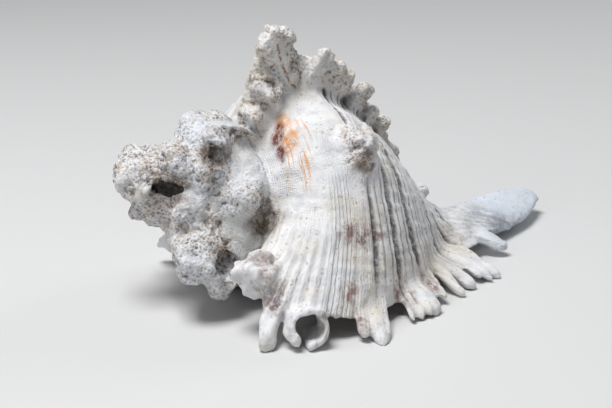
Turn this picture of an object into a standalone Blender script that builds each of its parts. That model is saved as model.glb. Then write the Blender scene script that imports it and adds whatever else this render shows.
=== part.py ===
"""Spiny murex shell lying on its lip spines, modelled as one faceted solid.

The shell grows as a spiral: every outline is the outline of the last lip made smaller by a
constant factor for each turn back towards the apex. Its own frame has the apex at the origin,
the coiling axis along +Z towards the siphonal canal, and the outer lip in the half plane of
angle 0. Lengths there are fractions of SHELL_LENGTH. The finished solid is turned into the
resting pose, with +Z up and its lowest spine tips worn flat on the plane z = 0.
"""

from math import cos, pi, radians, sin

import bmesh
import bpy
import numpy as np
from mathutils import Matrix, Vector, noise

# Driving dimensions, in metres and degrees
SHELL_LENGTH = 0.190
WHORL_GROWTH = 1.825
AXIS_HEADING = 26.3
AXIS_PITCH = -12.8
LIP_ROLL = 71.7
APEX_PLACE = (-0.0762, -0.0288, 0.0413)

# Growth stops, where an old lip stands as a ridge: angle, and how far before it the flare starts
VARIX_GAPS = (101.0, 137.0, 104.0)
OLDEST_ANGLE = -1750.0
FLARE_SPAN = 42.0
FLARE_POWER = 2.2
STAGE_OVERLAP = 6.0

# The room inside the last whorl: its ends along the spiral, and its outline inside and at the lip
HOLLOW_START = -150.0
HOLLOW_STOP = 12.0
HOLLOW_ROUNDING = 24.0
HOLLOW_STEP = 9.0
HOLLOW_POINTS = 30
HOLLOW_OUTLINE = (
    (0.155, 0.268), (0.205, 0.288), (0.242, 0.320), (0.256, 0.360), (0.250, 0.405), (0.230, 0.455),
    (0.192, 0.520), (0.140, 0.582), (0.090, 0.635), (0.048, 0.680), (0.040, 0.660), (0.062, 0.590),
    (0.078, 0.500), (0.090, 0.420), (0.118, 0.350), (0.142, 0.300),
)
HOLLOW_MOUTH = (
    (0.160, 0.262), (0.220, 0.245), (0.285, 0.228), (0.330, 0.265), (0.343, 0.315), (0.328, 0.360),
    (0.305, 0.410), (0.250, 0.500), (0.185, 0.565), (0.125, 0.630), (0.080, 0.680), (0.045, 0.640),
    (0.062, 0.560), (0.080, 0.450), (0.112, 0.360), (0.142, 0.295),
)

# Mesh sizes: voxel and triangles of the fused skin, steps along the spiral, and points of a ring
VOXEL = 0.0013
TARGET_TRIANGLES = 7100
ANGLE_STEP = 3.0
RING_POINTS = 72
CURVE_STEPS = 24
SPINE_SIDES = 14
CUTTER_SIDES = 10

# Spiral cords below the shoulder: their number on a whole outline and height, the share of the
# outline where they start, and the shares over which they fade in and fade out at the canal
CORD_COUNT = 12
CORD_HEIGHT = 0.0052
SHOULDER_SHARE = 0.27
SHOULDER_FADE = 0.12
CANAL_FADE = 0.20

# Outline of the growing edge, as radius and height along the axis, from the suture to the canal
PLAIN_OUTLINE = (
    (0.100, 0.232), (0.139, 0.244), (0.170, 0.254), (0.215, 0.271), (0.258, 0.303), (0.276, 0.350),
    (0.272, 0.400), (0.250, 0.460), (0.210, 0.530), (0.155, 0.595), (0.100, 0.650), (0.060, 0.710),
    (0.035, 0.760),
)
RIDGE_OUTLINE = (
    (0.100, 0.232), (0.140, 0.228), (0.180, 0.208), (0.240, 0.212), (0.300, 0.212), (0.345, 0.236),
    (0.356, 0.300), (0.354, 0.352), (0.332, 0.415), (0.302, 0.475), (0.262, 0.538), (0.205, 0.602),
    (0.150, 0.655), (0.090, 0.712), (0.040, 0.765),
)
LIP_OUTLINE = (
    (0.100, 0.232), (0.150, 0.226), (0.184, 0.191), (0.218, 0.166), (0.268, 0.142), (0.310, 0.156),
    (0.340, 0.205), (0.362, 0.260), (0.370, 0.315), (0.352, 0.362), (0.330, 0.408), (0.268, 0.512),
    (0.200, 0.578), (0.150, 0.632), (0.105, 0.712), (0.060, 0.770), (0.035, 0.800),
)

# Spines: root and tip as (angle, radius, along), then half width and half thickness at each end
LIP_SPINES = (
    ((-2, 0.270, 0.240), (6, 0.392, 0.212), (0.014, 0.010), (0.007, 0.007)),
    ((-6, 0.262, 0.206), (10, 0.390, 0.161), (0.024, 0.018), (0.014, 0.012)),
    ((-6, 0.270, 0.230), (6, 0.386, 0.198), (0.016, 0.014), (0.009, 0.008)),
    ((-4, 0.230, 0.390), (1, 0.430, 0.356), (0.044, 0.020), (0.013, 0.011)),
    ((-4, 0.300, 0.355), (0, 0.408, 0.332), (0.022, 0.012), (0.007, 0.007)),
    ((-4, 0.190, 0.485), (-0.5, 0.343, 0.497), (0.040, 0.018), (0.014, 0.011)),
    ((-4, 0.250, 0.475), (-1, 0.355, 0.452), (0.024, 0.013), (0.009, 0.008)),
    ((-4, 0.140, 0.570), (-1, 0.262, 0.628), (0.036, 0.017), (0.012, 0.010)),
    ((-4, 0.170, 0.555), (-3, 0.280, 0.560), (0.024, 0.012), (0.008, 0.008)),
    ((-4, 0.085, 0.650), (-3, 0.195, 0.724), (0.034, 0.016), (0.012, 0.010)),
    ((-4, 0.110, 0.640), (-5, 0.183, 0.672), (0.020, 0.012), (0.008, 0.008)),
    ((-4, 0.020, 0.730), (-6, 0.098, 0.795), (0.040, 0.015), (0.015, 0.010)),
)
TOP_SPINES = (
    ((-102, 0.200, 0.222), (-99, 0.344, 0.197), (0.036, 0.026), (0.019, 0.016)),
    ((-100, 0.210, 0.244), (-98, 0.350, 0.222), (0.034, 0.026), (0.020, 0.018)),
    ((-100, 0.200, 0.268), (-97, 0.318, 0.246), (0.026, 0.022), (0.014, 0.013)),
    ((-99, 0.225, 0.304), (-96, 0.328, 0.316), (0.025, 0.023), (0.019, 0.018)),
    ((-99, 0.220, 0.338), (-96, 0.308, 0.352), (0.020, 0.020), (0.014, 0.015)),
    ((-99, 0.215, 0.362), (-96, 0.292, 0.378), (0.015, 0.018), (0.012, 0.014)),
    ((-99, 0.200, 0.408), (-96, 0.268, 0.424), (0.020, 0.020), (0.016, 0.016)),
    ((-99, 0.175, 0.438), (-96, 0.224, 0.458), (0.014, 0.016), (0.011, 0.013)),
    ((-99, 0.145, 0.462), (-96, 0.204, 0.488), (0.016, 0.017), (0.013, 0.014)),
    ((-103, 0.095, 0.512), (-99, 0.142, 0.538), (0.018, 0.014), (0.013, 0.010)),
    ((-112, 0.020, 0.590), (-112, 0.066, 0.640), (0.022, 0.020), (0.016, 0.014)),
)
BACK_SPINES = (
    ((-242, 0.150, 0.180), (-238, 0.238, 0.160), (0.020, 0.013), (0.010, 0.008)),
    ((-242, 0.160, 0.205), (-238, 0.275, 0.222), (0.030, 0.017), (0.013, 0.011)),
    ((-242, 0.160, 0.265), (-238, 0.250, 0.300), (0.026, 0.015), (0.012, 0.009)),
    ((-242, 0.130, 0.325), (-238, 0.217, 0.366), (0.024, 0.014), (0.010, 0.009)),
    ((-242, 0.090, 0.375), (-238, 0.176, 0.425), (0.021, 0.013), (0.009, 0.008)),
    ((-242, 0.060, 0.420), (-238, 0.142, 0.482), (0.018, 0.012), (0.009, 0.008)),
)

# How a spine narrows: the power of its taper, and the places and widths that round off its end
SPINE_TAPER = 0.8
SPINE_SHARES = (0.0, 0.25, 0.5, 0.75, 0.92, 1.0)
SPINE_ROUNDING = (1.0, 1.0, 1.0, 1.0, 0.9, 0.55)

# Uneven lumps: centre as (angle, radius, along), and half sizes along radius, growth and axis.
# In order: the shoulder knob, the spire's smooth ridge, its porous lumps, the lump of the oldest
# lip beside the aperture, the bump of the last lip, and the ledges of the highest spine
LUMPS = (
    ((-55, 0.226, 0.346), (0.054, 0.060, 0.046)),
    ((-58, 0.258, 0.350), (0.032, 0.038, 0.034)),
    ((-446, 0.110, 0.112), (0.044, 0.046, 0.056)),
    ((-462, 0.124, 0.112), (0.036, 0.040, 0.040)),
    ((-462, 0.128, 0.150), (0.036, 0.040, 0.040)),
    ((-390, 0.118, 0.178), (0.048, 0.052, 0.044)),
    ((-420, 0.100, 0.120), (0.046, 0.052, 0.056)),
    ((-372, 0.098, 0.116), (0.034, 0.050, 0.060)),
    ((-434, 0.150, 0.108), (0.026, 0.028, 0.026)),
    ((-430, 0.086, 0.066), (0.044, 0.050, 0.042)),
    ((-444, 0.036, 0.012), (0.038, 0.050, 0.053)),
    ((-470, 0.044, 0.040), (0.036, 0.040, 0.040)),
    ((-400, 0.038, 0.008), (0.036, 0.036, 0.036)),
    ((-360, 0.030, 0.034), (0.032, 0.036, 0.030)),
    ((12, 0.172, 0.090), (0.038, 0.040, 0.036)),
    ((14, 0.190, 0.144), (0.034, 0.040, 0.032)),
    ((14, 0.142, 0.112), (0.052, 0.050, 0.050)),
    ((-2, 0.262, 0.170), (0.042, 0.040, 0.044)),
    ((-97, 0.312, 0.196), (0.026, 0.022, 0.020)),
    ((-96, 0.232, 0.222), (0.018, 0.034, 0.032)),
    ((-96, 0.212, 0.242), (0.014, 0.032, 0.026)),
    ((-97, 0.180, 0.212), (0.024, 0.034, 0.032)),
    ((-98, 0.150, 0.222), (0.026, 0.028, 0.030)),
)

# Pits worn into the surface, given as the lumps are: beside the old lip, on the spire's porous
# knob, under the shoulder knob, under the spire's shelf, and in the oldest lip's lump
PITS = (
    ((-20, 0.153, 0.206), (0.024, 0.032, 0.026)),
    ((-62, 0.146, 0.112), (0.015, 0.020, 0.014)),
    ((-47, 0.280, 0.346), (0.021, 0.023, 0.019)),
    ((-37, 0.066, 0.060), (0.030, 0.018, 0.036)),
    ((8, 0.192, 0.150), (0.032, 0.022, 0.030)),
)

# How finely a lump's rings are set, and how near its poles the first and last ring lie, in radians
LUMP_RINGS = 15
LUMP_SIDES = 24
PIT_RINGS = 7
PIT_SIDES = 10
POLE_GAP = 0.12

# The worn core of the spire: its centre line and radii
SPIRE_CORE = ((-101, 0.026, -0.006), (-101, 0.024, 0.050), (-80, 0.014, 0.110), (-60, 0.004, 0.190))
SPIRE_CORE_SIZES = (0.036, 0.066, 0.096, 0.125)
SPIRE_CORE_POINTS = 20

# Uneven surface: sizes of the swellings on the whorls and lumps, and how high they stand
WHORL_SWELLING = 0.045
LUMP_SWELLING = 0.028
LUMP_ROUGHNESS = 0.20
WHORL_ROUGHNESS = 0.006

# Lip tube: the large open shoulder spine, as centre line points with the outer and inner radii,
# how many points it is drawn with, where its bore starts, and how far that runs past its mouth
LIP_TUBE = ((-10, 0.215, 0.300), (2, 0.280, 0.270), (5, 0.343, 0.243), (1, 0.398, 0.224))
LIP_TUBE_OUTER = (0.046, 0.043, 0.039, 0.036)
LIP_TUBE_BORE = 0.0235
LIP_TUBE_POINTS = 12
LIP_TUBE_SIDES = 20
BORE_START = 4
BORE_OVERRUN = 3.0

# The slit under the lip tube: its direction, half width, and its depth and drop against the bore
SLIT_TURN = 8.0
SLIT_HALF_WIDTH = 0.007
SLIT_DEPTH_RATIO = 1.5
SLIT_DROP_RATIO = 1.6

# Siphonal canal: centre line, half height in the plane of the lip, and half thickness
CANAL_LINE = ((0.045, 0.560), (0.034, 0.660), (0.008, 0.735), (-0.040, 0.830), (-0.082, 0.905),
              (-0.148, 0.993))
CANAL_HEIGHTS = (0.050, 0.047, 0.050, 0.052, 0.044, 0.026)
CANAL_WIDTHS = (0.050, 0.034, 0.026, 0.022, 0.017, 0.009)
CANAL_POINTS = 24
CANAL_SIDES = 18

# The open groove under the canal: half width, half depth, drop, and the points it is drawn with
CANAL_GROOVE = 0.007
CANAL_GROOVE_DEPTH = 0.020
CANAL_GROOVE_DROP = 0.020
CANAL_GROOVE_POINTS = 20
CANAL_GROOVE_START = 5

# Side of the block under the ground plane, against the shell's length
BLOCK_RATIO = 4.0

# Finish
CHALK_COLOUR = (0.78, 0.76, 0.72, 1.0)
CHALK_ROUGHNESS = 0.75


def growth(angle):
    """Size of the shell's outline at this angle, against the last lip."""
    return WHORL_GROWTH ** (angle / 360.0)


def polar(angle, radius, along):
    """A point of the shell's own frame, in fractions of its length."""
    turn = radians(angle)
    return np.array([radius * cos(turn), radius * sin(turn), along])


def smooth_curve(points, count):
    """Evenly spread points of a Catmull-Rom curve through the given points."""
    p = np.asarray(points, float)
    padded = np.vstack([2 * p[0] - p[1], p, 2 * p[-1] - p[-2]])
    spans = len(p) - 1
    t = np.linspace(0, spans, spans * CURVE_STEPS + 1)
    i = np.minimum(t.astype(int), spans - 1)
    f = (t - i)[:, None]
    a, b, c, d = (padded[i + k] for k in range(4))
    dense = 0.5 * (2 * b + (c - a) * f + (2 * a - 5 * b + 4 * c - d) * f**2
                   + (3 * b - a - 3 * c + d) * f**3)
    length = np.r_[0, np.cumsum(np.linalg.norm(np.diff(dense, axis=0), axis=1))]
    even = np.linspace(0, length[-1], count)
    return np.column_stack([np.interp(even, length, dense[:, k]) for k in range(p.shape[1])])


def varix_angles():
    """Angles of the growth stops, from the last lip back towards the apex."""
    angles = [0.0]
    while angles[-1] > OLDEST_ANGLE:
        angles.append(angles[-1] - VARIX_GAPS[(len(angles) - 1) % len(VARIX_GAPS)])
    return angles


def loft(rings):
    """Vertices and faces of closed rings joined in order, with both ends capped."""
    rings = np.asarray(rings, float)
    count, side = rings.shape[:2]
    verts = rings.reshape(-1, 3)
    i, j = np.meshgrid(np.arange(count - 1), np.arange(side), indexing="ij")
    a = i * side + j
    b = i * side + (j + 1) % side
    faces = np.stack([a, b, b + side, a + side], axis=-1).reshape(-1, 4).tolist()
    faces.append(list(range(side))[::-1])
    faces.append(list(range((count - 1) * side, count * side)))
    return verts, faces


def blended(outlines, angle, stop):
    """The plain outline, turned into the flared one over the last stretch before a growth stop."""
    plain, flared = outlines
    near = max(0.0, 1.0 + (angle - stop) / FLARE_SPAN)
    return plain + (flared - plain) * near**FLARE_POWER


def stage(start, stop, flared_outline):
    """The shell laid down between two growth stops: plain outlines that flare out to the lip."""
    outlines = [smooth_curve(points, RING_POINTS) for points in (PLAIN_OUTLINE, flared_outline)]
    share = np.linspace(0, 1, RING_POINTS)
    below = np.clip((share - SHOULDER_SHARE) / SHOULDER_FADE, 0, 1) * np.clip((1 - share) / CANAL_FADE, 0, 1)
    cords = CORD_HEIGHT * below * np.cos(2 * pi * CORD_COUNT * share)
    rings = []
    for angle in np.linspace(start - STAGE_OVERLAP, stop, int((stop - start) / ANGLE_STEP) + 3):
        edge = blended(outlines, angle, stop)
        swell = [noise.noise(Vector(polar(angle, *point) / WHORL_SWELLING)) for point in edge]
        edge[:, 0] += cords + WHORL_ROUGHNESS * np.array(swell) * below
        edge = np.vstack([edge, [0.0, edge[-1, 1]], [0.0, edge[0, 1]]]) * growth(angle)
        rings.append([polar(angle, radius, along) for radius, along in edge])
    return loft(rings)


def hollow():
    """The room of the last whorl, open through the lip: the cutter of the aperture."""
    outlines = [smooth_curve(points + points[:1], HOLLOW_POINTS + 1)[:-1]
                for points in (HOLLOW_OUTLINE, HOLLOW_MOUTH)]
    rings = []
    for angle in np.arange(HOLLOW_START, HOLLOW_STOP + HOLLOW_STEP, HOLLOW_STEP):
        edge = blended(outlines, min(angle, 0.0), 0.0) * growth(min(angle, 0.0))
        if angle < HOLLOW_START + HOLLOW_ROUNDING:
            middle = edge.mean(axis=0)
            depth = (angle - HOLLOW_START + HOLLOW_STEP) / (HOLLOW_ROUNDING + HOLLOW_STEP)
            edge = middle + (edge - middle) * sin(0.5 * pi * depth)
        rings.append([polar(angle, radius, along) for radius, along in edge])
    return loft(rings)


def tube(path, widths, heights, lead, sides=SPINE_SIDES):
    """A closed tube of oval section along a path; lead is the direction of its height."""
    path = np.asarray(path, float)
    tangents = np.gradient(path, axis=0)
    tangents /= np.linalg.norm(tangents, axis=1)[:, None]
    lead = np.asarray(lead, float)
    up = lead - (tangents @ lead)[:, None] * tangents
    up /= np.linalg.norm(up, axis=1)[:, None]
    side = np.cross(tangents, up)
    turn = np.arange(sides) * 2 * pi / sides
    widths, heights = (np.asarray(v, float)[:, None, None] for v in (widths, heights))
    rings = (path[:, None] + np.cos(turn)[None, :, None] * side[:, None] * widths
             + np.sin(turn)[None, :, None] * up[:, None] * heights)
    return loft(rings)


def around(angle):
    """The direction of growth at this angle."""
    return polar(angle + 90.0, 1.0, 0.0)


def spread(sizes, count):
    """The sizes at count even steps, worked out between those given."""
    return np.interp(np.linspace(0, 1, count), np.linspace(0, 1, len(sizes)), sizes)


def spine(root, tip, root_size, tip_size):
    """A blunt spine with a rounded end, flattened against the lip that it grew on."""
    share = np.array(SPINE_SHARES)
    start, end = polar(*root), polar(*tip)
    path = start + (end - start) * share[:, None]
    narrowing = share**SPINE_TAPER
    widths, heights = ((wide + (narrow - wide) * narrowing) * SPINE_ROUNDING
                       for wide, narrow in zip(root_size, tip_size))
    return tube(path, widths, heights, around(root[0]))


def lump(centre, sizes, ring_count=LUMP_RINGS, sides=LUMP_SIDES):
    """A rounded, uneven lump: a ball made of latitude rings, swollen in places."""
    axes = np.array([polar(centre[0], 1.0, 0.0), around(centre[0]), (0.0, 0.0, 1.0)])
    axes *= np.array(sizes)[:, None]
    middle = polar(*centre)
    turn = np.arange(sides) * 2 * pi / sides
    rings = []
    for tilt in np.linspace(POLE_GAP - pi / 2, pi / 2 - POLE_GAP, ring_count):
        unit = np.column_stack([np.cos(turn), np.sin(turn), np.full(sides, np.tan(tilt))]) * cos(tilt)
        ring = unit @ axes
        swell = [1 + LUMP_ROUGHNESS * noise.noise(Vector((middle + p) / LUMP_SWELLING)) for p in ring]
        rings.append(middle + ring * np.array(swell)[:, None])
    return loft(rings)


def spire_core():
    """The solid middle of the worn spire."""
    line = smooth_curve([polar(*point) for point in SPIRE_CORE], SPIRE_CORE_POINTS)
    sizes = spread(SPIRE_CORE_SIZES, SPIRE_CORE_POINTS)
    return tube(line, sizes, sizes, (1.0, 0.0, 0.0), sides=SPIRE_CORE_POINTS)


def lip_tube_path():
    """Centre line of the open lip spine."""
    return smooth_curve([polar(*point) for point in LIP_TUBE], LIP_TUBE_POINTS)


def lip_tube():
    """The outside of the open shoulder spine of the lip."""
    radii = spread(LIP_TUBE_OUTER, LIP_TUBE_POINTS)
    return tube(lip_tube_path(), radii, radii, around(0), sides=LIP_TUBE_SIDES)


def lip_tube_bore():
    """The bore of the open spine, and the slit along its under side, as two cutters."""
    line = lip_tube_path()
    line = np.vstack([line, line[-1] + (line[-1] - line[-2]) * BORE_OVERRUN])[BORE_START:]
    same = np.ones(len(line))
    bore = tube(line, same * LIP_TUBE_BORE, same * LIP_TUBE_BORE, around(0))
    low = line + around(SLIT_TURN) * LIP_TUBE_BORE * SLIT_DROP_RATIO
    slit = tube(low, same * SLIT_HALF_WIDTH, same * LIP_TUBE_BORE * SLIT_DEPTH_RATIO, around(SLIT_TURN))
    return bore, slit


def canal():
    """The siphonal canal, a flattened tube that rises and narrows to its broken end."""
    line = smooth_curve([polar(0, radius, along) for radius, along in CANAL_LINE], CANAL_POINTS)
    heights, widths = (spread(sizes, CANAL_POINTS) for sizes in (CANAL_HEIGHTS, CANAL_WIDTHS))
    return tube(line, heights, widths, around(0), sides=CANAL_SIDES)


def canal_slit():
    """The open groove along the under side of the canal."""
    points = [polar(0, radius, along) for radius, along in CANAL_LINE[:-1]]
    line = smooth_curve(points, CANAL_GROOVE_POINTS)[CANAL_GROOVE_START:]
    low = line + around(0) * CANAL_GROOVE_DROP
    same = np.ones(len(low))
    return tube(low, same * CANAL_GROOVE, same * CANAL_GROOVE_DEPTH, around(0), sides=CUTTER_SIDES)


def pose_matrix():
    """Rotation from the shell's own frame into the resting pose."""
    heading, pitch, roll = (radians(v) for v in (AXIS_HEADING, AXIS_PITCH, LIP_ROLL))
    axis = Vector((cos(pitch) * cos(heading), cos(pitch) * sin(heading), sin(pitch)))
    down = (Vector((0, 0, -1)) + axis * axis.z).normalized()
    toward = axis.cross(down)
    if toward.y > 0:
        toward.negate()
    lip = down * cos(roll) + toward * sin(roll)
    return Matrix((lip, axis.cross(lip), axis)).transposed()


def add_mesh(name, pieces, collection, material=None):
    """One object that holds all the given (vertices, faces) pieces, in the resting pose."""
    turn = np.array(pose_matrix()) * SHELL_LENGTH
    verts, faces, base = [], [], 0
    for points, polygons in pieces:
        verts.append(np.asarray(points) @ turn.T)
        faces += [[base + v for v in polygon] for polygon in polygons]
        base += len(points)
    mesh = bpy.data.meshes.new(name)
    mesh.from_pydata((np.vstack(verts) + APEX_PLACE).tolist(), [], faces)
    bm = bmesh.new()
    bm.from_mesh(mesh)
    bmesh.ops.recalc_face_normals(bm, faces=bm.faces)
    bm.to_mesh(mesh)
    bm.free()
    obj = bpy.data.objects.new(name, mesh)
    if material:
        obj.data.materials.append(material)
    collection.objects.link(obj)
    return obj


def triangle_count(obj):
    """Triangles of the object with the modifiers that it has so far."""
    evaluated = obj.evaluated_get(bpy.context.evaluated_depsgraph_get())
    mesh = evaluated.to_mesh()
    mesh.calc_loop_triangles()
    count = len(mesh.loop_triangles)
    evaluated.to_mesh_clear()
    return count


def fuse(obj):
    """Joins the overlapping pieces of an object into one surface, and thins its triangles."""
    skin = obj.modifiers.new("fuse", "REMESH")
    skin.mode = "VOXEL"
    skin.voxel_size = VOXEL
    thin = obj.modifiers.new("thin", "DECIMATE")
    thin.show_viewport = False
    count = triangle_count(obj)
    thin.show_viewport = True
    thin.ratio = min(1.0, TARGET_TRIANGLES / count)


def cut(obj, cutter):
    """Takes the cutter's room out of the object."""
    cutter.hide_render = True
    cutter.display_type = "WIRE"
    step = obj.modifiers.new("cut_" + cutter.name, "BOOLEAN")
    step.operation = "DIFFERENCE"
    step.object = cutter


def ground_block(collection):
    """A block under the plane z = 0, which wears the lowest spine tips flat."""
    mesh = bpy.data.meshes.new("ground_block")
    bm = bmesh.new()
    bmesh.ops.create_cube(bm, size=1.0)
    side = BLOCK_RATIO * SHELL_LENGTH
    bmesh.ops.scale(bm, vec=(side, side, SHELL_LENGTH), verts=bm.verts)
    bmesh.ops.translate(bm, vec=(0, 0, -SHELL_LENGTH / 2), verts=bm.verts)
    bm.to_mesh(mesh)
    bm.free()
    block = bpy.data.objects.new("ground_block", mesh)
    collection.objects.link(block)
    return block


def chalk_material():
    """Chalky white shell, worn matt."""
    material = bpy.data.materials.new("chalky_shell")
    material.use_nodes = True
    shader = material.node_tree.nodes["Principled BSDF"]
    shader.inputs["Base Color"].default_value = CHALK_COLOUR
    shader.inputs["Roughness"].default_value = CHALK_ROUGHNESS
    shader.inputs["Metallic"].default_value = 0.0
    material.diffuse_color = CHALK_COLOUR
    return material


def shell_pieces():
    """Every overlapping piece that the fused shell is made of."""
    angles = varix_angles()
    pieces = [stage(angles[1], angles[0], LIP_OUTLINE)]
    pieces += [stage(older, newer, RIDGE_OUTLINE) for newer, older in zip(angles[1:], angles[2:])]
    pieces += [spine(*sizes) for sizes in LIP_SPINES + TOP_SPINES + BACK_SPINES]
    pieces += [lump(*sizes) for sizes in LUMPS]
    pieces += [lip_tube(), canal(), spire_core()]
    return pieces


def main():
    """Fuses the shell and cuts its hollows, in a scene that holds nothing else."""
    for obj in list(bpy.data.objects):
        bpy.data.objects.remove(obj, do_unlink=True)
    shells = bpy.data.collections.new("murex_shell")
    cutters = bpy.data.collections.new("cutters")
    for collection in (shells, cutters):
        bpy.context.scene.collection.children.link(collection)
    shell = add_mesh("shell", shell_pieces(), shells, chalk_material())
    fuse(shell)
    bore, slit = lip_tube_bore()
    pits = [lump(*sizes, ring_count=PIT_RINGS, sides=PIT_SIDES) for sizes in PITS]
    for name, pieces in (("aperture", [hollow()]), ("spine_bore", [bore]), ("spine_slit", [slit]),
                         ("canal_groove", [canal_slit()]), ("pits", pits)):
        cut(shell, add_mesh(name, pieces, cutters))
    cut(shell, ground_block(cutters))


if __name__ == "__main__":
    main()
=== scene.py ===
"""Studio scene of a spiny murex shell that lies on its lip spines.

The shell is one natural piece, so it is one mesh. Its form is a spiral: every outline is the
outline of the last lip made smaller by a constant factor for each turn back towards the apex.
The shell's own frame has the apex at the origin, the coiling axis along +Z towards the
siphonal canal and the outer lip in the half plane of angle 0. Lengths in it are fractions of
the shell's length, and the pose turns them into the row frame, in metres.
"""

import logging
from dataclasses import dataclass, field
from enum import Enum, IntEnum

import bpy
import numpy as np
from mathutils import Matrix


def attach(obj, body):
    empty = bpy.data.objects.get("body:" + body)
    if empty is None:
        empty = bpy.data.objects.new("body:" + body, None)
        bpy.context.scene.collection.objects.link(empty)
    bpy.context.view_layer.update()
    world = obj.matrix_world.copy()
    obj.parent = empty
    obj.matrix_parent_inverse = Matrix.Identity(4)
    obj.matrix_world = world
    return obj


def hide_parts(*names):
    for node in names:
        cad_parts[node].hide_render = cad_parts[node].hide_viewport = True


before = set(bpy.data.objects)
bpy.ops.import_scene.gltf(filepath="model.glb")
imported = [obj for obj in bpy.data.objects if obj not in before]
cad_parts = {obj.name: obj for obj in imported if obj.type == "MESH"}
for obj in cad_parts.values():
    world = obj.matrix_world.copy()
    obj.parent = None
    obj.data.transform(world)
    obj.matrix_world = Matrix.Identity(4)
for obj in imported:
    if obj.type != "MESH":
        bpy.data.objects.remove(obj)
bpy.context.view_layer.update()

LOG = logging.getLogger("murex")
NODE = "shell"
BODY = "root"
FAR = 9.0

Array = np.ndarray
Pair = tuple[float, float]
Point = tuple[float, float, float]
Surface = tuple[Array, Array]
Colour = tuple[float, float, float, float]
Ramp = tuple[float, float, float, float]


def smoothstep(low: float, high: float, value: Array) -> Array:
    """An S-shaped rise from 0 to 1 as the value goes from low to high."""
    t = np.clip((value - low) / (high - low), 0.0, 1.0)
    return t * t * (3.0 - 2.0 * t)


def smooth_curve(points: tuple, count: int) -> Array:
    """Evenly spread points of a Catmull-Rom curve through the given points.

    Args:
        points: the points the curve goes through.
        count: how many points to return.

    Returns:
        An array of count points, at equal steps of length.
    """
    p = np.asarray(points, float)
    padded = np.vstack([2 * p[0] - p[1], p, 2 * p[-1] - p[-2]])
    spans = len(p) - 1
    t = np.linspace(0, spans, spans * 24 + 1)
    i = np.minimum(t.astype(int), spans - 1)
    f = (t - i)[:, None]
    a, b, c, d = (padded[i + k] for k in range(4))
    dense = 0.5 * (2 * b + (c - a) * f + (2 * a - 5 * b + 4 * c - d) * f**2
                   + (3 * b - a - 3 * c + d) * f**3)
    length = np.r_[0, np.cumsum(np.linalg.norm(np.diff(dense, axis=0), axis=1))]
    even = np.linspace(0, length[-1], count)
    return np.column_stack([np.interp(even, length, dense[:, k]) for k in range(p.shape[1])])


def polar(angle: Array, radius: Array, along: Array) -> Array:
    """Points of the shell's own frame: radius at the angle in degrees, and height along the axis."""
    turn = np.radians(angle)
    return np.stack(np.broadcast_arrays(radius * np.cos(turn), radius * np.sin(turn), along), axis=-1)


def onward(angle: float) -> Array:
    """The direction of growth at this angle."""
    return polar(angle + 90.0, 1.0, 0.0)


def axis_distance(points: Array) -> Array:
    """Distance of points of the shell's own frame from its axis."""
    return np.hypot(points[:, 0], points[:, 1])


def turns_of(sides: int) -> Array:
    """Even turns round a ring of this many points, in radians."""
    return np.arange(sides) * 2 * np.pi / sides


def loft(rings: Array) -> Surface:
    """Closed surface through rings in order, with a pole point in the middle of each end.

    Args:
        rings: array of shape (rings, points of a ring, 3).

    Returns:
        Vertices and triangles, wound so that they face outwards.
    """
    count, side = rings.shape[:2]
    verts = np.vstack([rings.reshape(-1, 3), rings[0].mean(axis=0), rings[-1].mean(axis=0)])
    i, j = np.meshgrid(np.arange(count - 1), np.arange(side), indexing="ij")
    a = (i * side + j).ravel()
    b = (i * side + (j + 1) % side).ravel()
    first = np.arange(side)
    then = (first + 1) % side
    last = (count - 1) * side
    poles = np.full((2, side), count * side) + [[0], [1]]
    faces = np.vstack([
        np.column_stack([a, b, b + side]), np.column_stack([a, b + side, a + side]),
        np.column_stack([then, first, poles[0]]),
        np.column_stack([last + first, last + then, poles[1]]),
    ])
    corners = verts[faces]
    volume = np.einsum("ij,ij->i", corners[:, 0], np.cross(corners[:, 1], corners[:, 2])).sum()
    return verts, faces if volume > 0 else faces[:, ::-1]


def tube(path: Array, widths: Array, heights: Array, lead: Array, outline: Array | None = None,
         sides: int = 28) -> Surface:
    """Closed tube of oval section along a path, with an optional ribbed outline.

    A ring point is the path point plus side times width times the cosine of its turn, plus up
    times height times the sine, both times the outline's factor for that turn.

    Args:
        path: centre line, one point for each ring.
        widths: half width of each ring, across lead.
        heights: half height of each ring, along lead.
        lead: direction of the tube's height.
        outline: factor on the radius for each turn, or None for a plain oval.
        sides: points of a ring.

    Returns:
        The closed surface.
    """
    tangents = np.gradient(path, axis=0)
    tangents /= np.linalg.norm(tangents, axis=1)[:, None]
    up = lead - (tangents @ lead)[:, None] * tangents
    up /= np.linalg.norm(up, axis=1)[:, None]
    side = np.cross(tangents, up)
    turn = turns_of(sides)
    factor = np.ones(sides) if outline is None else outline
    across = (np.cos(turn) * factor)[None, :, None] * side[:, None] * np.asarray(widths)[:, None, None]
    along = (np.sin(turn) * factor)[None, :, None] * up[:, None] * np.asarray(heights)[:, None, None]
    return loft(path[:, None] + across + along)


class Salt(IntEnum):
    """Which of its many patterns a noise shows."""

    LUMP_SWELL = 3
    LANE_DEPTH = 5
    LANE_WEAR = 9
    LUMP_EDGE = 11
    LANE_WANDER = 21
    GROOVE_DEPTH = 23
    GROWTH_LINES = 31
    GROWTH_FOLDS = 37
    CRUST_SWELL = 41
    CRUST_GRAIN = 43
    CRUST_RIDGES = 45
    CRUST_PITS = 47
    DENTS = 49
    HOLES = 51
    SPINE_FOLDS = 71
    WEAR = 81


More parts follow.
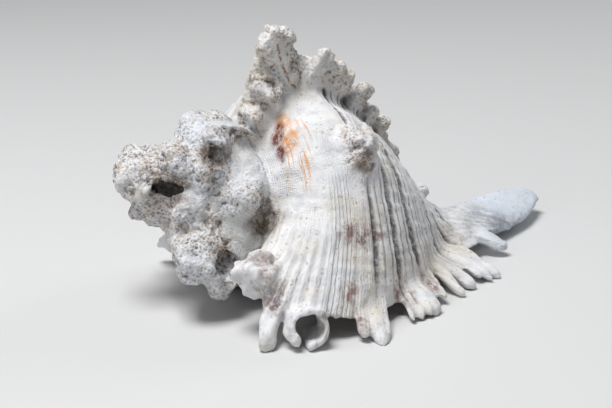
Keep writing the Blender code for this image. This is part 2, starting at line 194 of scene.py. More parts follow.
class Noise:
    """Repeatable noise from an integer hash of lattice points, worked out as whole arrays."""

    PRIMES = (73856093, 19349663, 83492791)
    MIX = 1274126177
    SALT_STEP = 668265263
    TOP = 0xFFFFFF

    @classmethod
    def chance(cls, cell: Array, salt: int) -> Array:
        """A number from 0 to 1 for each integer cell.

        Args:
            cell: integer array of shape (points, 3).
            salt: makes another pattern of the same cells.

        Returns:
            One number a cell, spread evenly.
        """
        h = cell[:, 0] * cls.PRIMES[0] ^ cell[:, 1] * cls.PRIMES[1] ^ cell[:, 2] * cls.PRIMES[2]
        h = (h + salt * cls.SALT_STEP) * cls.MIX
        h = (h ^ (h >> 15)) * cls.MIX
        return ((h ^ (h >> 17)) & cls.TOP) / float(cls.TOP)

    @classmethod
    def smooth(cls, points: Array, size: float, salt: int = 0) -> Array:
        """Smooth noise from -1 to 1: the chances of a cell's eight corners, blended with an S curve.

        Args:
            points: where to look.
            size: size of a cell, in the same unit.
            salt: which pattern.

        Returns:
            One number for each point.
        """
        q = points / size
        base = np.floor(q).astype(np.int64)
        f = q - base
        f = f * f * f * (f * (f * 6 - 15) + 10)
        total = np.zeros(len(q))
        for corner in np.ndindex(2, 2, 2):
            share = np.prod(np.where(np.array(corner) == 1, f, 1 - f), axis=1)
            total += share * cls.chance(base + corner, salt)
        return 2 * total - 1

    @classmethod
    def fractal(cls, points: Array, size: float, octaves: int = 3, salt: int = 0) -> Array:
        """Smooth noise at halving sizes and strengths, added up to about -1 to 1.

        Args:
            points: where to look.
            size: size of the largest cells, in the same unit.
            octaves: how many sizes are added up.
            salt: which pattern.

        Returns:
            One number for each point.
        """
        total = np.zeros(len(points))
        for octave in range(octaves):
            total += 0.5**octave * cls.smooth(points, size * 0.5**octave, salt + 7 * octave)
        return total

    @classmethod
    def cells(cls, points: Array, size: float, salt: int = 0) -> tuple[Array, Array]:
        """Distance to the nearest of one scattered point a cell, and that point's own chance.

        Args:
            points: where to look.
            size: side of a cell, in the same unit.
            salt: makes another pattern.

        Returns:
            The distance in cell sides, and a number from 0 to 1 that belongs to the nearest point.
        """
        q = points / size
        base = np.floor(q).astype(np.int64)
        nearest = np.full(len(q), FAR)
        own = np.zeros(len(q))
        for step in np.ndindex(3, 3, 3):
            cell = base + np.array(step) - 1
            spot = cell + np.column_stack([cls.chance(cell, salt + k) for k in (1, 2, 3)])
            distance = np.linalg.norm(q - spot, axis=1)
            closer = distance < nearest
            nearest = np.where(closer, distance, nearest)
            own = np.where(closer, cls.chance(cell, salt + 4), own)
        return nearest, own


@dataclass(frozen=True)
class Pose:
    """Where the shell lies: its length, the heading and pitch of its axis, and the roll of its lip."""

    length: float = 0.190
    heading: float = 26.3
    pitch: float = -12.8
    roll: float = 71.7
    apex: Point = (-0.0762, -0.0288, 0.0413)

    def turn(self) -> Array:
        """Rotation matrix from the shell's frame to the row frame.

        Returns:
            A matrix whose columns are the lip's direction, the growth there and the axis.
        """
        heading, pitch, roll = np.radians([self.heading, self.pitch, self.roll])
        level = np.cos(pitch)
        axis = np.array([level * np.cos(heading), level * np.sin(heading), np.sin(pitch)])
        down = np.array([0.0, 0.0, -1.0]) + axis * axis[2]
        down /= np.linalg.norm(down)
        toward = np.cross(axis, down)
        toward *= -np.sign(toward[1])
        lip = down * np.cos(roll) + toward * np.sin(roll)
        return np.column_stack([lip, np.cross(axis, lip), axis])

    def to_row(self, points: Array) -> Array:
        """Points of the shell's frame in the row frame."""
        return points @ self.turn().T * self.length + self.apex

    def to_shell(self, points: Array) -> Array:
        """Points of the row frame in the shell's frame."""
        return (points - self.apex) @ self.turn() / self.length


class LipKind(Enum):
    """How the growing edge flares where growth stopped."""

    OUTER_LIP = "outer lip"
    OLD_LIP = "old lip"


@dataclass(frozen=True)
class Spiral:
    """The growth law and the outlines of the growing edge, as radius and height along the axis."""

    rate: float = 1.825
    gaps: Point = (101.0, 137.0, 104.0)
    oldest: float = -1750.0
    flare_span: float = 42.0
    flare_power: float = 2.2
    overlap: float = 6.0
    step: float = 2.0
    side: int = 120
    centre: Pair = (0.060, 0.420)
    plain: tuple = (
        (0.100, 0.232), (0.139, 0.244), (0.170, 0.254), (0.215, 0.271), (0.258, 0.303),
        (0.276, 0.350), (0.272, 0.400), (0.250, 0.460), (0.210, 0.530), (0.155, 0.595),
        (0.100, 0.650), (0.060, 0.710), (0.035, 0.760),
    )
    old_lip: tuple = (
        (0.100, 0.232), (0.140, 0.228), (0.180, 0.208), (0.240, 0.212), (0.300, 0.212),
        (0.345, 0.236), (0.356, 0.300), (0.356, 0.352), (0.336, 0.415), (0.308, 0.475),
        (0.266, 0.538), (0.207, 0.602), (0.150, 0.655), (0.090, 0.712), (0.040, 0.765),
    )
    outer_lip: tuple = (
        (0.100, 0.232), (0.150, 0.226), (0.184, 0.191), (0.218, 0.166), (0.268, 0.142),
        (0.310, 0.156), (0.340, 0.205), (0.362, 0.260), (0.370, 0.315), (0.352, 0.362),
        (0.330, 0.408), (0.268, 0.512), (0.200, 0.578), (0.150, 0.632), (0.105, 0.712),
        (0.060, 0.770), (0.035, 0.800),
    )

    def scale(self, angle: Array) -> Array:
        """Size of the outline at this angle, against the last lip."""
        return self.rate ** (np.asarray(angle) / 360.0)

    def stops(self) -> list[float]:
        """Angles of the growth stops, from the last lip back towards the apex.

        Returns:
            Angles in degrees, from 0 downwards.
        """
        angles = [0.0]
        while angles[-1] > self.oldest:
            angles.append(angles[-1] - self.gaps[(len(angles) - 1) % len(self.gaps)])
        return angles

    def flared(self, kind: LipKind) -> tuple:
        """The outline of the lip where growth stopped."""
        return self.outer_lip if kind is LipKind.OUTER_LIP else self.old_lip

    def nearness(self, angle: Array, stop: Array) -> Array:
        """How far the flare has come: 0 up to flare_span before the stop, and 1 at it."""
        return np.clip(1.0 + (angle - stop) / self.flare_span, 0.0, 1.0) ** self.flare_power

    def stage(self, start: float, stop: float, kind: LipKind) -> Surface:
        """The shell laid down between two growth stops.

        The outline goes from the plain one to the flared one by the nearness to the stop, and is
        closed along the axis. Each ring is that outline at its angle, times the growth there.

        Args:
            start: angle of the older stop.
            stop: angle of the younger stop.
            kind: which flare ends it.

        Returns:
            The closed surface, in the shell's frame.
        """
        plain = smooth_curve(self.plain, self.side)
        flared = smooth_curve(self.flared(kind), self.side)
        angles = np.linspace(start - self.overlap, stop, int((stop - start) / self.step) + 3)
        near = self.nearness(angles, stop)[:, None, None]
        edges = plain + (flared - plain) * near
        ends = edges[:, [-1, 0]] * [0.0, 1.0]
        edges = np.concatenate([edges, ends], axis=1) * self.scale(angles)[:, None, None]
        return loft(polar(angles[:, None], edges[..., 0], edges[..., 1]))


@dataclass
class Places:
    """Where points lie on the shell: which age, how far along the outline, and how far out."""

    age: Array
    share: Array
    reach: Array
    turns: Array


class WhorlMap:
    """Finds a point's age and its share along the outline from its place alone.

    Seen from the centre of an outline, each direction meets the outline once, so the direction
    gives the share, and the distance over the outline's distance gives the reach. A point is on
    the whorl where its reach is nearest to 1.
    """

    MOST_TURNS = 4
    LIP_OVERRUN = 18.0
    POINTS = 400
    DIRECTION_STEP = 1e-9
    LEAST_RATIO = 1e-3
    TURN_COST = 0.02

    def __init__(self, spiral: Spiral) -> None:
        """Tabulates direction, distance and share of the three outlines.

        Args:
            spiral: the growth law and its outlines.
        """
        self.spiral = spiral
        self.tables = {}
        outlines = {"plain": spiral.plain, "old": spiral.old_lip, "outer": spiral.outer_lip}
        for name, outline in outlines.items():
            curve = smooth_curve(outline, self.POINTS)
            offset = curve - spiral.centre
            direction = np.maximum.accumulate(np.arctan2(offset[:, 1], offset[:, 0]))
            direction += np.arange(self.POINTS) * self.DIRECTION_STEP
            self.tables[name] = (direction, np.linalg.norm(offset, axis=1))
        self.shares = np.linspace(0, 1, self.POINTS)
        self.stops = np.array(spiral.stops()[::-1])

    def distance(self, direction: Array, age: Array) -> Array:
        """Distance from the outline's centre to the outline, at unit growth.

        Args:
            direction: direction from the outline's centre, in radians.
            age: age in degrees, 0 at the last lip.

        Returns:
            One distance for each point, in shell lengths.
        """
        stop = self.stops[np.clip(np.searchsorted(self.stops, age), 0, len(self.stops) - 1)]
        near = self.spiral.nearness(np.minimum(age, stop), stop)
        plain, old, outer = (np.interp(direction, *table) for table in self.tables.values())
        flared = np.where(stop == self.stops[-1], outer, old)
        return plain + (flared - plain) * near

    def locate(self, points: Array) -> Places:
        """Finds the places of points of the shell's frame.

        Args:
            points: array of shape (points, 3).

        Returns:
            Age in degrees, share of the outline, reach and turn number of each point.
        """
        angle = np.degrees(np.arctan2(points[:, 1], points[:, 0]))
        first = (angle - self.LIP_OVERRUN) % 360.0 + self.LIP_OVERRUN - 360.0
        radius = axis_distance(points)
        best = np.full(len(points), FAR)
        age, share, reach, turns = (np.zeros(len(points)) for _ in range(4))
        for turn in range(self.MOST_TURNS + 1):
            this = first - 360.0 * turn
            k = self.spiral.scale(np.minimum(this, 0.0))
            offset = np.column_stack([radius / k, points[:, 2] / k]) - self.spiral.centre
            direction = np.arctan2(offset[:, 1], offset[:, 0])
            ratio = np.linalg.norm(offset, axis=1) / self.distance(direction, this)
            miss = np.abs(np.log(np.maximum(ratio, self.LEAST_RATIO))) + self.TURN_COST * turn
            closer = miss < best
            best = np.where(closer, miss, best)
            age = np.where(closer, this, age)
            reach = np.where(closer, ratio, reach)
            turns = np.where(closer, turn, turns)
            met = np.interp(direction, self.tables["plain"][0], self.shares)
            share = np.where(closer, met, share)
        return Places(age, share, reach, turns)


@dataclass(frozen=True)
class Spine:
    """A spine from root to tip, each as angle, radius and height along the axis."""

    root: Point
    tip: Point
    root_size: Pair
    tip_size: Pair
    ribs: int = 0
    rib_height: float = 0.07
    gutter: float = 0.0
    sag: float = 0.0
    taper: float = 0.8
    rings: int = 16
    round_share: float = 0.14
    roundest: float = 0.97
    gutter_turn: float = 0.55
    sides: int = 28

    def surface(self) -> Surface:
        """Tube that narrows to a round end, with ribs along it and a gutter on its onward side.

        Returns:
            The closed surface, in the shell's frame.
        """
        share = np.linspace(0, 1, self.rings)
        start, end = polar(*self.root), polar(*self.tip)
        lead = onward(self.root[0])
        path = start + (end - start) * share[:, None]
        path = path + lead * (self.sag * np.sin(np.pi * share))[:, None]
        ending = np.clip((share - 1 + self.round_share) / self.round_share, 0, self.roundest)
        rounding = np.sqrt(1 - ending**2)
        narrow = share**self.taper
        widths, heights = ((root + (tip - root) * narrow) * rounding
                           for root, tip in zip(self.root_size, self.tip_size))
        turn = turns_of(self.sides)
        outline = 1 + self.rib_height * np.cos(self.ribs * turn) * (self.ribs > 0)
        outline = outline - self.gutter * np.exp(-(((turn - np.pi / 2) / self.gutter_turn) ** 2))
        return tube(path, widths, heights, lead, outline, self.sides)


@dataclass(frozen=True)
class Lump:
    """An uneven lump: centre as angle, radius and height, and half sizes by radius, growth and axis."""

    centre: Point
    sizes: Point
    unevenness: float = 0.16
    swelling: float = 0.028
    rings: int = 25
    sides: int = 40
    pole_gap: float = 0.08
    edge_wander: float = 0.22
    edge_size: float = 0.035

    def axes(self) -> Array:
        """The directions of radius, growth and axis at the lump's angle, one a row."""
        return np.array([polar(self.centre[0], 1.0, 0.0), onward(self.centre[0]), (0.0, 0.0, 1.0)])

    def local(self, points: Array) -> Array:
        """Points in the lump's own axes, with its surface at distance 1."""
        return (points - polar(*self.centre)) @ self.axes().T / np.array(self.sizes)

    def surface(self) -> Surface:
        """Ball of latitude rings whose radius swells and shrinks with noise.

        Returns:
            The closed surface, in the shell's frame.
        """
        top = np.pi / 2 - self.pole_gap
        tilts = np.linspace(-top, top, self.rings)
        tilt, turn = np.meshgrid(tilts, turns_of(self.sides), indexing="ij")
        level = np.cos(tilt)
        unit = np.stack([np.cos(turn) * level, np.sin(turn) * level, np.sin(tilt)], axis=-1)
        points = (unit @ (self.axes() * np.array(self.sizes)[:, None])).reshape(-1, 3)
        centre = polar(*self.centre)
        swell = 1 + self.unevenness * Noise.fractal(points + centre, self.swelling, 2, Salt.LUMP_SWELL)
        return loft((centre + points * swell[:, None]).reshape(self.rings, self.sides, 3))

    def mask(self, points: Array, reach: float = 1.0, blur: float = 0.35) -> Array:
        """1 well inside the lump's size times reach, fading to 0 over blur, with an uneven edge.

        Args:
            points: points of the shell's own frame.
            reach: factor on the lump's sizes.
            blur: width of the fade, as a share of the sizes.

        Returns:
            One strength for each point.
        """
        distance = np.linalg.norm(self.local(points), axis=1) / reach
        ragged = distance + self.edge_wander * Noise.fractal(points, self.edge_size, 3, Salt.LUMP_EDGE)
        return 1.0 - smoothstep(1.0 - blur, 1.0 + blur, ragged)


@dataclass(frozen=True)
class LipTube:
    """The large shoulder spine of the outer lip, an open tube with a slit along its under side."""

    line: tuple = ((-10, 0.215, 0.300), (2, 0.280, 0.270), (5, 0.340, 0.243), (1, 0.394, 0.224))
    radii: tuple = (0.046, 0.042, 0.037, 0.035)
    bore: float = 0.0262
    slit_turn: float = 8.0
    slit_half: float = 0.010
    ribs: int = 17
    rib_height: float = 0.075
    ribbed_side: Pair = (0.15, 0.55)
    rings: int = 18
    sides: int = 48
    bore_from: int = 6
    past_mouth: float = 3.0
    slit_drop: float = 1.6
    slit_height: float = 1.5

    def path(self, extra: float = 0.0) -> Array:
        """Centre line, with a straight run of extra steps added past the mouth.

        Args:
            extra: length of the added run, in steps.

        Returns:
            The points of the line.
        """
        line = smooth_curve(tuple(polar(*point) for point in self.line), self.rings)
        if extra:
            line = np.vstack([line, line[-1] + (line[-1] - line[-2]) * extra])
        return line

    def surface(self) -> Surface:
        """The outside of the tube, ribbed on its left side.

        Returns:
            The closed surface, in the shell's frame.
        """
        line = self.path()
        radii = np.interp(np.linspace(0, 1, len(line)), np.linspace(0, 1, len(self.radii)), self.radii)
        turn = turns_of(self.sides)
        ribbed = smoothstep(*self.ribbed_side, -np.cos(turn))
        ribs = 1 + self.rib_height * np.cos(self.ribs * turn) * ribbed
        return tube(line, radii, radii, onward(0), ribs, self.sides)

    def cutters(self) -> tuple[Surface, Surface]:
        """The bore, and the slit along its under side.

        Returns:
            Two closed surfaces, in the shell's frame.
        """
        line = self.path(self.past_mouth)[self.bore_from:]
        radii = np.full(len(line), self.bore)
        low = line + onward(self.slit_turn) * self.bore * self.slit_drop
        halves = np.full(len(line), self.slit_half)
        slit = tube(low, halves, radii * self.slit_height, onward(self.slit_turn))
        return tube(line, radii, radii, onward(0)), slit


@dataclass(frozen=True)
class Canal:
    """The siphonal canal, a flattened tube that narrows to its broken end, slit underneath."""

    line: tuple = ((0.045, 0.560), (0.034, 0.660), (0.008, 0.735), (-0.040, 0.830), (-0.082, 0.905),
                   (-0.148, 0.993))
    heights: tuple = (0.050, 0.047, 0.050, 0.052, 0.044, 0.026)
    widths: tuple = (0.050, 0.034, 0.026, 0.022, 0.017, 0.009)
    rings: int = 30
    sides: int = 32
    groove: float = 0.007
    groove_depth: float = 0.020
    groove_rings: int = 20
    groove_from: int = 5
    groove_sides: int = 16

    def surface(self) -> Surface:
        """Flattened tube in the plane of the lip.

        Returns:
            The closed surface, in the shell's frame.
        """
        line = smooth_curve(tuple(polar(0, *point) for point in self.line), self.rings)
        share, stops = np.linspace(0, 1, self.rings), np.linspace(0, 1, len(self.line))
        heights, widths = (np.interp(share, stops, sizes) for sizes in (self.heights, self.widths))
        return tube(line, heights, widths, onward(0), sides=self.sides)

    def cutter(self) -> Surface:
        """The open groove along its under side.

        Returns:
            The closed surface, in the shell's frame.
        """
        whole = smooth_curve(tuple(polar(0, *point) for point in self.line[:-1]), self.groove_rings)
        line = whole[self.groove_from:]
        low = line + onward(0) * self.groove_depth
        size = np.ones(len(low))
        depths = size * self.groove_depth
        return tube(low, size * self.groove, depths, onward(0), sides=self.groove_sides)


@dataclass(frozen=True)
class Aperture:
    """The room of the last whorl, open through the outer lip."""

    start: float = -150.0
    stop: float = 12.0
    rounding: float = 24.0
    step: float = 4.5
    side: int = 72
    inner: tuple = (
        (0.155, 0.268), (0.205, 0.288), (0.242, 0.320), (0.256, 0.360), (0.250, 0.405),
        (0.230, 0.455), (0.192, 0.520), (0.140, 0.582), (0.090, 0.635), (0.048, 0.680),
        (0.040, 0.660), (0.062, 0.590), (0.078, 0.500), (0.090, 0.420), (0.118, 0.350), (0.142, 0.300),
    )
    mouth: tuple = (
        (0.160, 0.262), (0.220, 0.245), (0.285, 0.228), (0.330, 0.265), (0.343, 0.315),
        (0.328, 0.360), (0.305, 0.410), (0.250, 0.500), (0.185, 0.565), (0.125, 0.630),
        (0.080, 0.680), (0.045, 0.640), (0.062, 0.560), (0.080, 0.450), (0.112, 0.360), (0.142, 0.295),
    )

    def rings(self, spiral: Spiral) -> Array:
        """The room's outlines along the spiral: inner turns into mouth, and the deep end is rounded.

        Args:
            spiral: the growth law and its outlines.

        Returns:
            Rings from the deep end to the mouth.
        """
        inner, mouth = (smooth_curve(line + line[:1], self.side + 1)[:-1]
                        for line in (self.inner, self.mouth))
        angles = np.arange(self.start, self.stop + self.step, self.step)
        grown = np.minimum(angles, 0.0)
        near = spiral.nearness(grown, 0.0)[:, None, None]
        edges = (inner + (mouth - inner) * near) * spiral.scale(grown)[:, None, None]
        depth = np.clip((angles - self.start + self.step) / (self.rounding + self.step), 0, 1)
        middle = edges.mean(axis=1, keepdims=True)
        edges = middle + (edges - middle) * np.sin(0.5 * np.pi * depth)[:, None, None]
        return polar(angles[:, None], edges[..., 0], edges[..., 1])

    def cutter(self, spiral: Spiral) -> Surface:
        """The room as a closed surface."""
        return loft(self.rings(spiral))


@dataclass(frozen=True)
class ShellPlan:
    """The spines, lumps, folds and hollows of this shell, in its own frame."""

    lip_spines: tuple = (
        Spine((-2, 0.270, 0.240), (6, 0.392, 0.212), (0.014, 0.010), (0.007, 0.007), sag=0.006),
        Spine((-6, 0.262, 0.206), (10, 0.390, 0.161), (0.024, 0.018), (0.014, 0.012),
              ribs=7, rib_height=0.05),
        Spine((-6, 0.270, 0.230), (6, 0.386, 0.198), (0.016, 0.014), (0.009, 0.008),
              ribs=3, rib_height=0.08),
        Spine((-5, 0.225, 0.395), (1, 0.432, 0.356), (0.046, 0.024), (0.015, 0.013), ribs=9),
        Spine((-3, 0.300, 0.350), (1, 0.408, 0.330), (0.022, 0.014), (0.009, 0.009), ribs=5),
        Spine((-6, 0.185, 0.478), (-0.5, 0.345, 0.508), (0.034, 0.020), (0.015, 0.013), ribs=8),
        Spine((-4, 0.235, 0.468), (0, 0.366, 0.447), (0.020, 0.014), (0.009, 0.008), ribs=5),
        Spine((-4, 0.225, 0.474), (0, 0.358, 0.469), (0.018, 0.014), (0.009, 0.009), ribs=5),
        Spine((-5, 0.220, 0.482), (-1, 0.350, 0.489), (0.018, 0.014), (0.009, 0.009), ribs=5),
        Spine((-6, 0.130, 0.565), (-1.5, 0.252, 0.640), (0.028, 0.018), (0.013, 0.011), ribs=8),
        Spine((-5, 0.160, 0.556), (-1.5, 0.280, 0.600), (0.022, 0.016), (0.010, 0.010), ribs=6),
        Spine((-4, 0.180, 0.530), (-2, 0.302, 0.546), (0.017, 0.012), (0.008, 0.008), ribs=5),
        Spine((-4, 0.175, 0.520), (-2, 0.299, 0.528), (0.016, 0.012), (0.007, 0.008), ribs=5),
        Spine((-6, 0.080, 0.640), (-3, 0.216, 0.716), (0.026, 0.016), (0.012, 0.010), ribs=8),
        Spine((-5, 0.110, 0.640), (-3, 0.231, 0.690), (0.020, 0.013), (0.009, 0.009), ribs=5),
        Spine((-5, 0.120, 0.630), (-3, 0.226, 0.665), (0.016, 0.012), (0.008, 0.008), ribs=5),
        Spine((-4, 0.120, 0.610), (-3, 0.203, 0.634), (0.018, 0.011), (0.008, 0.008), ribs=5),
        Spine((-5, 0.020, 0.722), (-5, 0.104, 0.797), (0.040, 0.016), (0.014, 0.011), ribs=7),
    )
    top_spines: tuple = (
        Spine((-102, 0.200, 0.222), (-99, 0.344, 0.197), (0.036, 0.026), (0.019, 0.016), ribs=5),
        Spine((-100, 0.210, 0.244), (-98, 0.350, 0.222), (0.034, 0.026), (0.020, 0.018), ribs=5),
        Spine((-100, 0.200, 0.268), (-97, 0.318, 0.246), (0.026, 0.022), (0.014, 0.013)),
        Spine((-99, 0.225, 0.304), (-96, 0.328, 0.316), (0.025, 0.023), (0.019, 0.018),
              ribs=5, gutter=0.35),
        Spine((-99, 0.220, 0.338), (-96, 0.308, 0.352), (0.020, 0.020), (0.014, 0.015),
              ribs=5, gutter=0.25),
        Spine((-99, 0.215, 0.362), (-96, 0.292, 0.378), (0.015, 0.018), (0.012, 0.014), ribs=5),
        Spine((-99, 0.200, 0.408), (-96, 0.268, 0.424), (0.020, 0.020), (0.016, 0.016),
              ribs=5, gutter=0.45),
        Spine((-99, 0.175, 0.438), (-96, 0.224, 0.458), (0.014, 0.016), (0.011, 0.013), ribs=5),
        Spine((-99, 0.145, 0.462), (-96, 0.204, 0.488), (0.016, 0.017), (0.013, 0.014),
              ribs=5, gutter=0.45),
        Spine((-103, 0.095, 0.512), (-99, 0.142, 0.538), (0.018, 0.014), (0.013, 0.010),
              ribs=5, gutter=0.40),
        Spine((-112, 0.020, 0.590), (-112, 0.066, 0.640), (0.022, 0.020), (0.016, 0.014)),
    )
    back_spines: tuple = (
        Spine((-242, 0.150, 0.180), (-238, 0.238, 0.160), (0.020, 0.013), (0.010, 0.009),
              ribs=5, gutter=0.4),
        Spine((-242, 0.160, 0.205), (-238, 0.275, 0.222), (0.030, 0.017), (0.013, 0.012),
              ribs=7, gutter=0.4),
        Spine((-242, 0.160, 0.265), (-238, 0.250, 0.300), (0.026, 0.015), (0.012, 0.010),
              ribs=7, gutter=0.4),
        Spine((-242, 0.130, 0.325), (-238, 0.217, 0.366), (0.024, 0.014), (0.010, 0.010),
              ribs=5, gutter=0.4),
        Spine((-242, 0.090, 0.375), (-238, 0.176, 0.425), (0.021, 0.013), (0.009, 0.009),
              ribs=5, gutter=0.4),
        Spine((-242, 0.060, 0.420), (-238, 0.142, 0.482), (0.018, 0.012), (0.009, 0.008), ribs=5),
    )
    knob: tuple = (
        Lump((-55, 0.226, 0.346), (0.054, 0.060, 0.046), 0.16),
        Lump((-58, 0.258, 0.350), (0.032, 0.038, 0.034), 0.28),
    )
    ridge: tuple = (
        Lump((-446, 0.110, 0.112), (0.044, 0.046, 0.056), 0.12),
        Lump((-462, 0.124, 0.112), (0.036, 0.040, 0.040), 0.12),
        Lump((-462, 0.128, 0.150), (0.036, 0.040, 0.040), 0.10),
        Lump((-390, 0.118, 0.178), (0.048, 0.052, 0.044), 0.12),
        Lump((-420, 0.100, 0.120), (0.046, 0.052, 0.056), 0.14),
        Lump((-372, 0.098, 0.116), (0.034, 0.050, 0.060), 0.16),
    )
    ledge: Lump = ridge[3]
    lumps: tuple = (
        Lump((-434, 0.150, 0.108), (0.026, 0.028, 0.026), 0.26),
        Lump((-430, 0.086, 0.066), (0.044, 0.050, 0.042), 0.24),
        Lump((-444, 0.036, 0.012), (0.038, 0.050, 0.053), 0.18),
        Lump((-470, 0.044, 0.040), (0.036, 0.040, 0.040), 0.24),
        Lump((-400, 0.038, 0.008), (0.036, 0.036, 0.036), 0.30),
        Lump((-360, 0.030, 0.034), (0.032, 0.036, 0.030), 0.26),
        Lump((12, 0.172, 0.090), (0.038, 0.040, 0.036), 0.26),
        Lump((14, 0.190, 0.144), (0.034, 0.040, 0.032), 0.26),
        Lump((14, 0.142, 0.112), (0.052, 0.050, 0.050), 0.18),
    )
    lip_bump: Lump = Lump((-2, 0.262, 0.170), (0.042, 0.040, 0.044), 0.34)
    core_line: tuple = ((-101, 0.026, -0.006), (-101, 0.024, 0.050), (-80, 0.014, 0.110),
                        (-60, 0.004, 0.190))
    core_sizes: tuple = (0.036, 0.066, 0.096, 0.125)
    core_rings: int = 24
    shingles: tuple = (
        Lump((-97, 0.312, 0.196), (0.026, 0.022, 0.020), 0.24),
        Lump((-96, 0.232, 0.222), (0.018, 0.034, 0.032), 0.28),
        Lump((-96, 0.212, 0.242), (0.014, 0.032, 0.026), 0.28),
        Lump((-97, 0.180, 0.212), (0.024, 0.034, 0.032), 0.24),
        Lump((-98, 0.150, 0.222), (0.026, 0.028, 0.030), 0.24),
    )
    lip_line: tuple = ((0.322, 0.204), (0.306, 0.215), (0.282, 0.229), (0.257, 0.249), (0.243, 0.269))
    lip_line_ages: tuple = (-112.0, -72.0)
    hollows: tuple = (
        Lump((-20, 0.153, 0.206), (0.024, 0.032, 0.026), 0.25),
        Lump((-62, 0.146, 0.112), (0.015, 0.020, 0.014), 0.40),
        Lump((-47, 0.280, 0.346), (0.021, 0.023, 0.019), 0.30),
        Lump((-37, 0.066, 0.060), (0.030, 0.018, 0.036), 0.35),
        Lump((-38, 0.046, 0.034), (0.026, 0.015, 0.028), 0.35),
        Lump((7, 0.196, 0.152), (0.034, 0.020, 0.034), 0.25),
        Lump((-91, 0.268, 0.200), (0.018, 0.014, 0.014), 0.25),
    )
    # Dark brown patches in the hollows, under the overhangs and in the mouth of the lip tube: painted
    # shade, with brown deposit in it.
    brown: tuple = (
        Lump((-22, 0.150, 0.208), (0.040, 0.040, 0.034)),
        Lump((-64, 0.140, 0.110), (0.026, 0.034, 0.028)),
        Lump((-50, 0.276, 0.352), (0.024, 0.026, 0.022)),
        Lump((-38, 0.080, 0.054), (0.044, 0.034, 0.040)),
        Lump((2, 0.200, 0.140), (0.040, 0.020, 0.034)),
        Lump((-4, 0.398, 0.236), (0.013, 0.014, 0.030)),
        Lump((-2, 0.290, 0.168), (0.022, 0.022, 0.026)),
    )
    mauve: tuple = (
        Lump((-22, 0.277, 0.335), (0.040, 0.022, 0.040)),
        Lump((-23, 0.274, 0.370), (0.030, 0.018, 0.024)),
        Lump((-6, 0.338, 0.310), (0.020, 0.020, 0.020)),
        Lump((-4, 0.304, 0.449), (0.030, 0.022, 0.024)),
        Lump((-4, 0.268, 0.522), (0.026, 0.020, 0.022)),
        Lump((-1, 0.384, 0.326), (0.024, 0.024, 0.018)),
        Lump((-5, 0.276, 0.168), (0.030, 0.030, 0.026)),
        Lump((2, 0.310, 0.186), (0.040, 0.026, 0.024)),
    )
    maroon: tuple = (
        Lump((-75, 0.176, 0.230), (0.017, 0.015, 0.015)),
        Lump((-79, 0.186, 0.236), (0.014, 0.014, 0.010)),
        Lump((-64, 0.169, 0.234), (0.010, 0.018, 0.009)),
    )
    orange: tuple = (
        Lump((-78, 0.192, 0.242), (0.022, 0.026, 0.016)),
        Lump((-68, 0.190, 0.246), (0.022, 0.026, 0.016)),
    )
    streaks: Lump = Lump((-60, 0.205, 0.252), (0.040, 0.066, 0.020))

    def surfaces(self, spiral: Spiral) -> list[Surface]:
        """Every overlapping surface that the fused shell is made of.

        Args:
            spiral: the growth law and its outlines.

        Returns:
            Closed surfaces, in the shell's frame.
        """
        stops = spiral.stops()
        kinds = [LipKind.OUTER_LIP] + [LipKind.OLD_LIP] * (len(stops) - 2)
        made = [spiral.stage(older, newer, kind) for newer, older, kind in zip(stops, stops[1:], kinds)]
        spines = self.lip_spines + self.top_spines + self.back_spines
        crusts = self.knob + self.ridge + self.lumps + self.shingles
        made += [part.surface() for part in spines + crusts + (self.lip_bump, LipTube(), Canal())]
        return made + [self.core()]

    def core(self) -> Surface:
        """A solid tube along the axis, which closes the inner turns.

        Returns:
            The closed surface, in the shell's frame.
        """
        line = smooth_curve(tuple(polar(*point) for point in self.core_line), self.core_rings)
        stops = np.linspace(0, 1, len(self.core_sizes))
        sizes = np.interp(np.linspace(0, 1, self.core_rings), stops, self.core_sizes)
        return tube(line, sizes, sizes, np.array([1.0, 0.0, 0.0]))

    def cutters(self, spiral: Spiral) -> list[Surface]:
        """What is taken out: aperture, bore and slit of the tube, groove of the canal, hollows."""
        hollows = [hollow.surface() for hollow in self.hollows]
        return [Aperture().cutter(spiral), *LipTube().cutters(), Canal().cutter(), *hollows]


